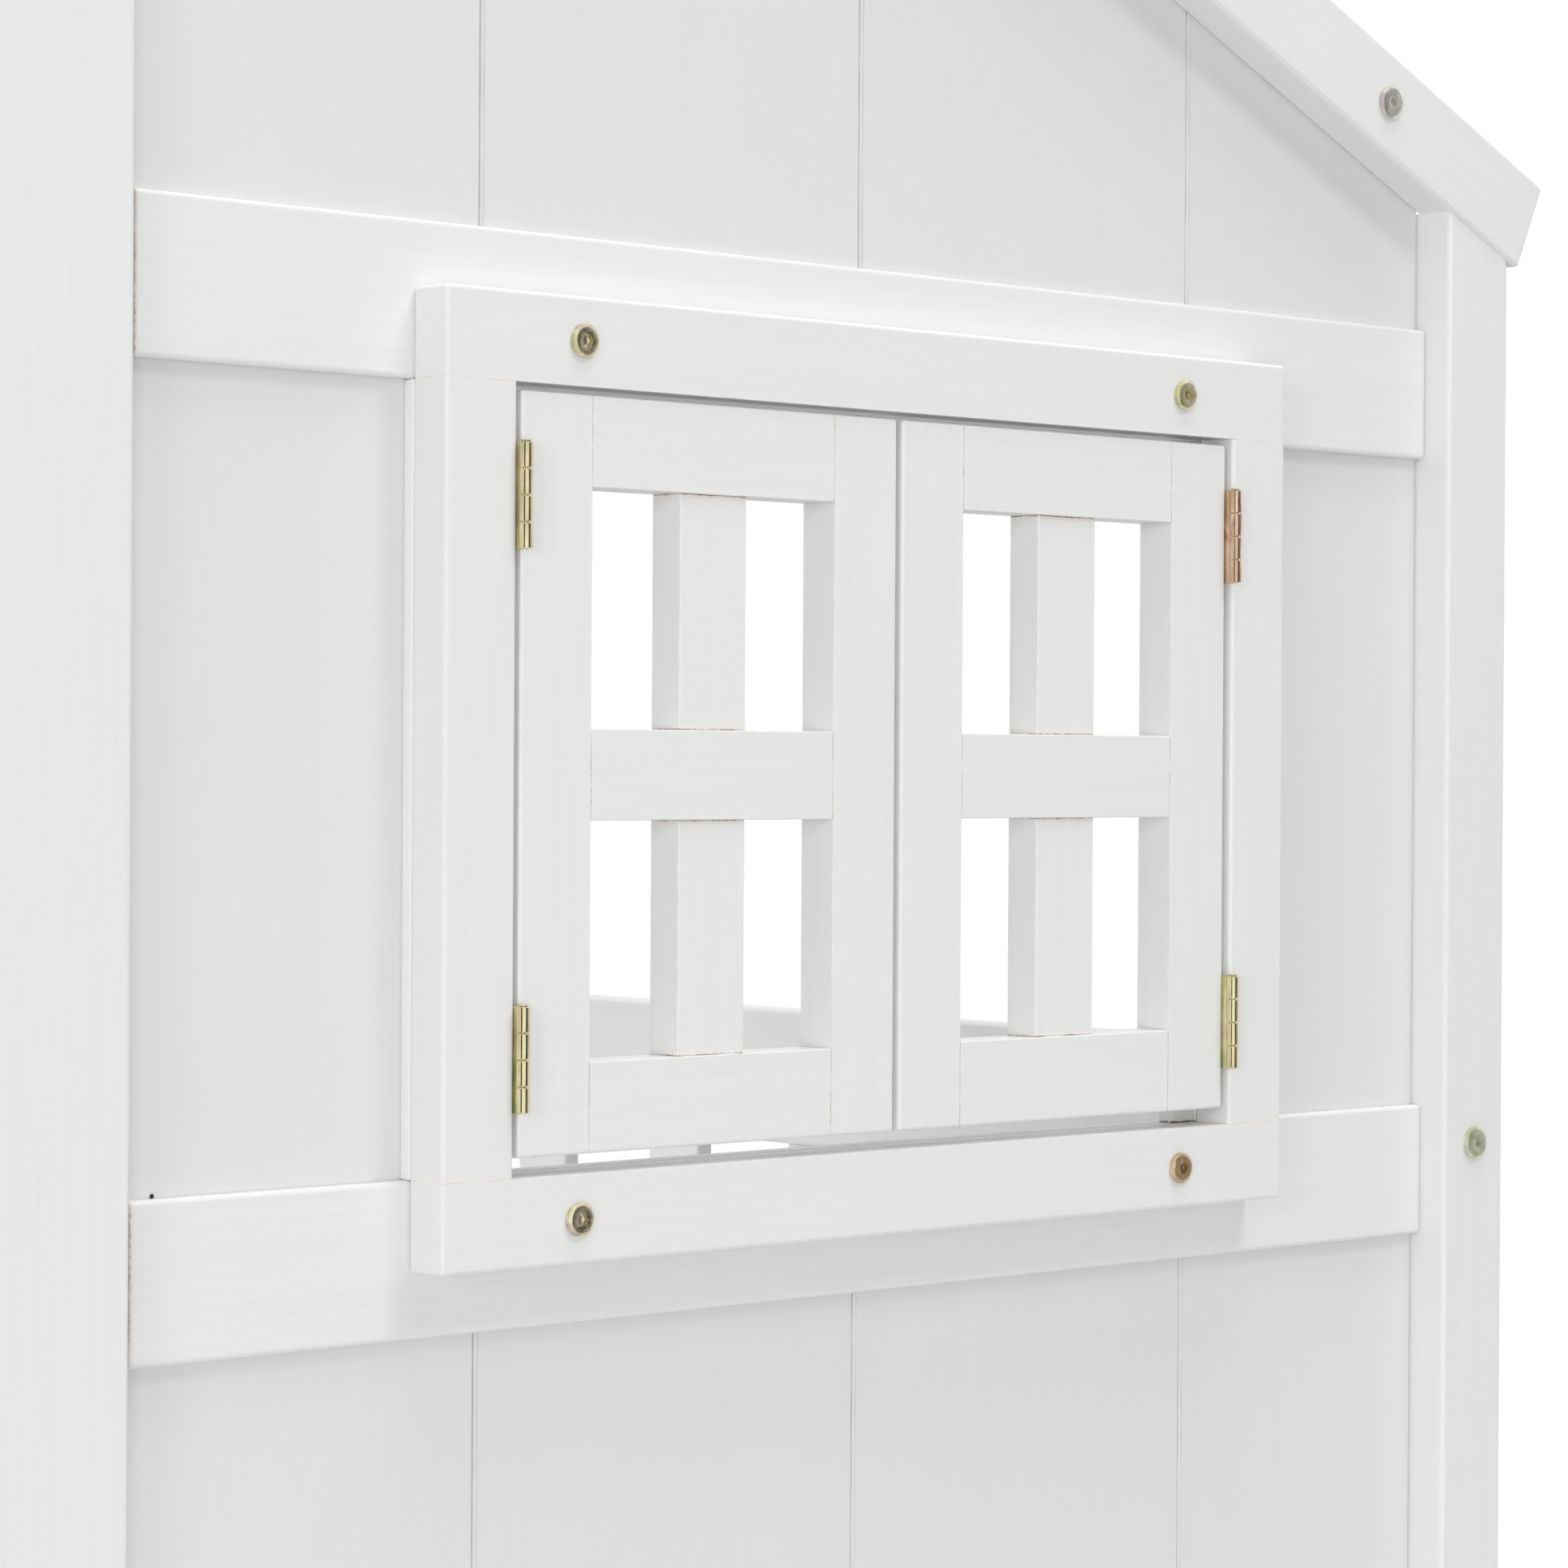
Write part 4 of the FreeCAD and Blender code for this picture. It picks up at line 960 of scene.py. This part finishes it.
@dataclass
class ButtHinges:
    """The four butt hinges: plates with rolled knuckles, rounded over, and domed pins.

    The upper right hinge has taken a copper tone.
    """

    plating: list[bpy.types.Material]
    rosy: bpy.types.Material
    barrel_radius: float = 3.3 * MM
    plate_thickness: float = 1.2 * MM
    knuckles: int = 4
    knuckle_gap: float = 0.55 * MM
    rim_rounding: float = 0.5 * MM
    rim_segments: int = 3
    plate_rounding: float = 0.15 * MM
    pin_rounding: float = 0.5 * MM
    segments: int = 40

    def knuckle(self, axis: Vector, low: float, high: float) -> bmesh.types.BMesh:
        """Build one rolled knuckle.

        Args:
            axis: A point on the hinge's axis.
            low: Level of its lower end.
            high: Level of its upper end.

        Returns:
            The mesh, in place.
        """
        made = bmesh.new()
        bmesh.ops.create_cone(made, cap_ends=True, segments=self.segments, radius1=self.barrel_radius,
                              radius2=self.barrel_radius, depth=high - low - self.knuckle_gap)
        rims = [edge for edge in made.edges if any(len(face.verts) > 4 for face in edge.link_faces)]
        round_over(made, rims, self.rim_rounding, self.rim_segments)
        bmesh.ops.translate(made, vec=(axis.x, axis.y, (low + high) / 2), verts=made.verts)
        return made

    def plate(self, part: bmesh.types.BMesh, axis: Vector) -> bmesh.types.BMesh:
        """Build the flat plate of a leaf.

        Args:
            part: The CAD leaf.
            axis: A point on the hinge's axis.

        Returns:
            The mesh, in place.
        """
        low, high = extent(part)
        flat = [vert.co.x for vert in part.verts if vert.co.y > axis.y + 2 * self.barrel_radius]
        size = Vector((self.plate_thickness, high.y - axis.y, high.z - low.z))
        centre = Vector(((min(flat) + max(flat)) / 2, (high.y + axis.y) / 2, (low.z + high.z) / 2))
        made = bmesh.new()
        bmesh.ops.create_cube(made, size=1.0)
        bmesh.ops.scale(made, vec=size, verts=made.verts)
        bmesh.ops.translate(made, vec=centre, verts=made.verts)
        round_over(made, made.edges[:], self.plate_rounding)
        return made

    def leaf(self, part: bmesh.types.BMesh, pin: Vector, length: float, first: int) -> bmesh.types.BMesh:
        """Build a leaf in place of a plain one.

        Args:
            part: The CAD leaf.
            pin: Middle of the hinge's pin.
            length: Length of the barrel.
            first: Number of its lowest knuckle, counted from 0 at the bottom of the barrel.

        Returns:
            The mesh, in place.
        """
        made = self.plate(part, pin)
        pitch = length / self.knuckles
        for number in range(first, self.knuckles, 2):
            low = pin.z - length / 2 + number * pitch
            join(made, self.knuckle(pin, low, low + pitch))
        return made

    def leaves(self, node: str, name: str, first: int, pins: list[Vector]) -> None:
        """Replace the plain leaves of one node.

        Args:
            node: The CAD node.
            name: Start of the names of its pieces.
            first: Number of each leaf's lowest knuckle.
            pins: Middles of the pins.
        """
        right_side = middle_of("window_head").x
        upper_half = middle_of("window_left_jamb").z
        body = body_of(frame["nodes"][node])[0]
        for number, part in enumerate(solids(node), start=1):
            low, high = extent(part)
            nearest = min(pins, key=lambda place: (place - middle(part)).length)
            material = self.plating[pins.index(nearest) % len(self.plating)]
            if nearest.x > right_side and nearest.z > upper_half:
                material = self.rosy
            pin = Vector((nearest.x, nearest.y, (low.z + high.z) / 2))
            finished(self.leaf(part, pin, high.z - low.z, first), f"{name}_{number}", body, material,
                     (node,) if number == 1 else ())
            part.free()

    def build(self) -> None:
        """Replace the plain leaves and pins."""
        pins = solids("hinge_pins")
        places = [middle(pin) for pin in pins]
        self.leaves("frame_hinge_leaves", "frame_leaf", 1, places)
        for side in ("left", "right"):
            self.leaves(f"{side}_shutter_hinge_leaves", f"{side}_shutter_leaf", 0, places)
        body = body_of(frame["nodes"]["hinge_pins"])[0]
        for number, pin in enumerate(pins, start=1):
            soften(pin, self.pin_rounding)
            finished(pin, f"hinge_pin_{number}", body, self.plating[number % len(self.plating)],
                     ("hinge_pins",) if number == 1 else ())


@dataclass
class Nail:
    """The small nail whose dark head shows above the lower rail."""

    material: bpy.types.Material
    head_radius: float = 1.1 * MM
    head_height: float = 0.5 * MM
    from_rail_end: float = 16.0 * MM
    above_rail: float = 0.9 * MM
    rounding: float = 0.2 * MM

    def build(self) -> None:
        """Build the nail's head on the panel."""
        rail_low, rail_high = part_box("lower_rail")
        panel_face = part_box("panel_lower_left_board")[0].y
        place = Vector((rail_low.x + self.from_rail_end, panel_face - self.head_height / 2,
                        rail_high.z + self.above_rail))
        made = bmesh.new()
        bmesh.ops.create_cone(made, cap_ends=True, segments=20, radius1=self.head_radius,
                              radius2=self.head_radius, depth=self.head_height,
                              matrix=Matrix.Translation(place) @ Matrix.Rotation(math.radians(90.0), 4, "X"))
        round_over(made, made.edges[:], self.rounding)
        finished(made, "rail_nail", "house", self.material)


# ------------------------------------------------------------------ studio
@dataclass(frozen=True)
class Lamp:
    """A square soft lamp that neither the camera nor gloss sees: places in metres, power in watts."""

    name: str
    place: Point
    target: Point
    size: float
    power: float
    spread: float = 180.0

    def hang(self) -> None:
        """Hang the lamp."""
        data = bpy.data.lights.new(self.name, "AREA")
        data.size = self.size
        data.energy = self.power
        data.spread = math.radians(self.spread)
        lamp = added(self.name, data)
        lamp.location = self.place
        lamp.rotation_mode = "QUATERNION"
        lamp.rotation_quaternion = (Vector(self.target) - Vector(self.place)).to_track_quat("-Z", "Y")
        lamp.visible_camera = False
        lamp.visible_glossy = False
        LOG.info("%s: %.1f W", self.name, self.power)


@dataclass(frozen=True)
class Flag:
    """A dull board that only gloss sees, so that bright metal has something to mirror."""

    name: str
    place: Point
    target: Point
    width: float
    shade: float
    height: float = 3.0
    roughness: float = 0.9

    def stand(self) -> None:
        """Stand the board up."""
        made = bmesh.new()
        bmesh.ops.create_grid(made, x_segments=1, y_segments=1, size=0.5)
        bmesh.ops.scale(made, vec=(self.width, self.height, 1.0), verts=made.verts)
        turn = (Vector(self.target) - Vector(self.place)).to_track_quat("Z", "Y").to_matrix().to_4x4()
        bmesh.ops.transform(made, matrix=Matrix.Translation(Vector(self.place)) @ turn, verts=made.verts)
        data = stored(made, self.name)
        board = added(self.name, data)
        material = bpy.data.materials.new(f"{self.name}_cloth")
        material.use_nodes = True
        shader = material.node_tree.nodes["Principled BSDF"]
        shader.inputs["Base Color"].default_value = (self.shade, self.shade, self.shade, 1.0)
        shader.inputs["Roughness"].default_value = self.roughness
        data.materials.append(material)
        board.visible_camera = False
        board.visible_diffuse = False
        board.visible_shadow = False
        board.visible_transmission = False
        LOG.info("%s: %.1f m wide", self.name, self.width)


@dataclass
class Studio:
    """Pale floor, white surround, soft lamps, dull boards and the camera."""

    floor_radius: float = 2.6
    floor_solid_radius: float = 1.7
    floor_fade_radius: float = 2.548
    floor_segments: int = 96
    floor_shade: Colour = (0.84, 0.84, 0.84)
    floor_speckle: Colour = (0.83, 0.83, 0.83)
    floor_roughness: float = 0.8
    backdrop: float = 1.0
    front_light: float = 0.38
    rear_light: float = 0.42
    change_over: float = 0.4
    low_share: float = 0.66
    high_share: float = 1.20
    lamps: tuple[Lamp, ...] = (
        Lamp("left_lamp", (-5.5, -3.55, 1.9), WINDOW, size=2.0, power=78.0),
        Lamp("fill_lamp", (-3.9, -5.95, 0.4), WINDOW, size=2.0, power=131.0),
        Lamp("front_lamp", (3.5, -6.05, 1.5), WINDOW, size=2.0, power=14.0),
        Lamp("key_lamp", (1.3, -3.15, 4.1), WINDOW, size=1.1, power=38.0),
        Lamp("top_lamp", (0.6, -1.0, 5.3), WINDOW, size=2.4, power=120.0),
        Lamp("room_lamp", (-0.45, 0.3, 0.35), (0.97, 0.1, 0.55), size=0.3, power=0.53, spread=50.0))
    flags: tuple[Flag, ...] = (
        Flag("right_flag", (1.25, -2.62, 0.9), WINDOW, width=1.3, shade=0.10),
        Flag("far_right_flag", (2.28, -1.95, 0.9), WINDOW, width=1.4, shade=0.50),
        Flag("camera_flag", (-1.48, -1.52, 0.9), WINDOW, width=0.9, shade=0.10))
    lens: float = 101.84
    sensor: float = 36.0
    near_clip: float = 0.05
    camera_place: Point = (-1.0683, -2.1770, 0.9089)
    camera_yaw: float = 42.805
    camera_pitch: float = -0.2724
    camera_roll: float = 0.34

    def floor(self) -> None:
        """Lay a round pale floor that fades out towards its rim."""
        made = bmesh.new()
        bmesh.ops.create_circle(made, cap_ends=True, radius=self.floor_radius, segments=self.floor_segments)
        data = stored(made, "floor")
        floor = added("floor", data)
        desk, material = Desk.for_material("pale_floor")
        place = desk.node("TexCoord").outputs["Object"]
        distance = desk.node("VectorMath", {0: place}, operation="LENGTH").outputs["Value"]
        solid = desk.ramp(distance, self.floor_solid_radius, self.floor_fade_radius, 1.0, 0.0)
        colour = desk.mix(desk.noise(place, scale=30.0, detail=4.0), linear(self.floor_shade),
                          linear(self.floor_speckle))
        shader = desk.node("BsdfPrincipled", {"Base Color": colour, "Roughness": self.floor_roughness,
                                              "Alpha": solid})
        desk.node("OutputMaterial", {"Surface": shader.outputs[0]})
        data.materials.append(material)
        LOG.info("floor: radius %.2f m", self.floor_radius)

    def surround_light(self) -> None:
        """Light everything softly from all round, with the surround white where it is seen or mirrored."""
        world = bpy.data.worlds.new("surround")
        world.use_nodes = True
        world.node_tree.nodes.clear()
        desk = Desk(world.node_tree)
        way = desk.node("SeparateXYZ", {0: desk.node("TexCoord").outputs["Generated"]}).outputs
        level = desk.ramp(way[1], -self.change_over, self.change_over, self.front_light, self.rear_light)
        tilt = desk.ramp(way[2], -1.0, 1.0, self.low_share, self.high_share, smooth=False)
        path = desk.node("LightPath").outputs
        seen = desk.math("MAXIMUM", path["Is Camera Ray"], path["Is Glossy Ray"])
        strength = desk.ramp(seen, 0.0, 1.0, desk.math("MULTIPLY", level, tilt), self.backdrop, smooth=False)
        ground = desk.node("Background", {"Color": (1.0, 1.0, 1.0, 1.0), "Strength": strength})
        desk.node("OutputWorld", {"Surface": ground.outputs[0]})
        bpy.context.scene.world = world

    def camera(self) -> None:
        """Set the camera up in front of the window, to its left."""
        yaw = math.radians(self.camera_yaw)
        pitch = math.radians(self.camera_pitch)
        roll = math.radians(self.camera_roll)
        forward = Vector((math.sin(yaw) * math.cos(pitch), math.cos(yaw) * math.cos(pitch), math.sin(pitch)))
        right = Vector((math.cos(yaw), -math.sin(yaw), 0.0))
        up = right.cross(forward)
        rolled_right = right * math.cos(roll) + up * math.sin(roll)
        rolled_up = up * math.cos(roll) - right * math.sin(roll)
        turn = Matrix((rolled_right, rolled_up, -forward)).transposed().to_4x4()
        data = bpy.data.cameras.new("camera")
        data.lens = self.lens
        data.sensor_width = self.sensor
        data.clip_start = self.near_clip
        camera = added("camera", data)
        camera.matrix_world = Matrix.Translation(Vector(self.camera_place)) @ turn
        bpy.context.scene.camera = camera

    def build(self) -> None:
        """Set the whole studio up."""
        self.floor()
        self.surround_light()
        for lamp in self.lamps:
            lamp.hang()
        for flag in self.flags:
            flag.stand()
        self.camera()
        bpy.context.scene.view_settings.view_transform = "Standard"


def main() -> None:
    """Dress the frame, add the fittings and set the studio up."""
    logging.basicConfig(level=logging.INFO, format="%(message)s")
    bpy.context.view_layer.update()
    effects = Effects()
    timbers = Facade().timbers() + Window().timbers() + RoofAndRailings().timbers()
    for seed, timber in enumerate(timbers, start=1):
        timber.paint_it(effects, seed)
    gold, other_gold, more_gold = (BOLT_ZINC.material(effects, seed) for seed in range(1, 4))
    brown = BROWN_ZINC.material(effects, 4)
    green = GREEN_ZINC.material(effects, 5)
    grey = GREY_ZINC.material(effects, 6)
    hinge_plating = [HINGE_ZINC.material(effects, seed) for seed in range(11, 15)]
    frame_plating = [gold, other_gold, brown, more_gold]
    BoltHeads("frame_bolts", "frame_bolt", frame_plating, socket_radius=3.5 * MM).build()
    BoltHeads("railing_bolts", "railing_bolt", [green]).build()
    BoltHeads("roof_bolts", "roof_bolt", [grey]).build()
    ButtHinges(hinge_plating, ROSY_ZINC.material(effects, 16)).build()
    Nail(DARK_STEEL.material(effects, 21)).build()
    for node in ("frame_cap_nuts", "barrel_nuts", "frame_hinge_screws", "left_shutter_hinge_screws",
                 "right_shutter_hinge_screws"):
        dress(node, gold)
    Studio().build()


if __name__ == "__main__":
    main()
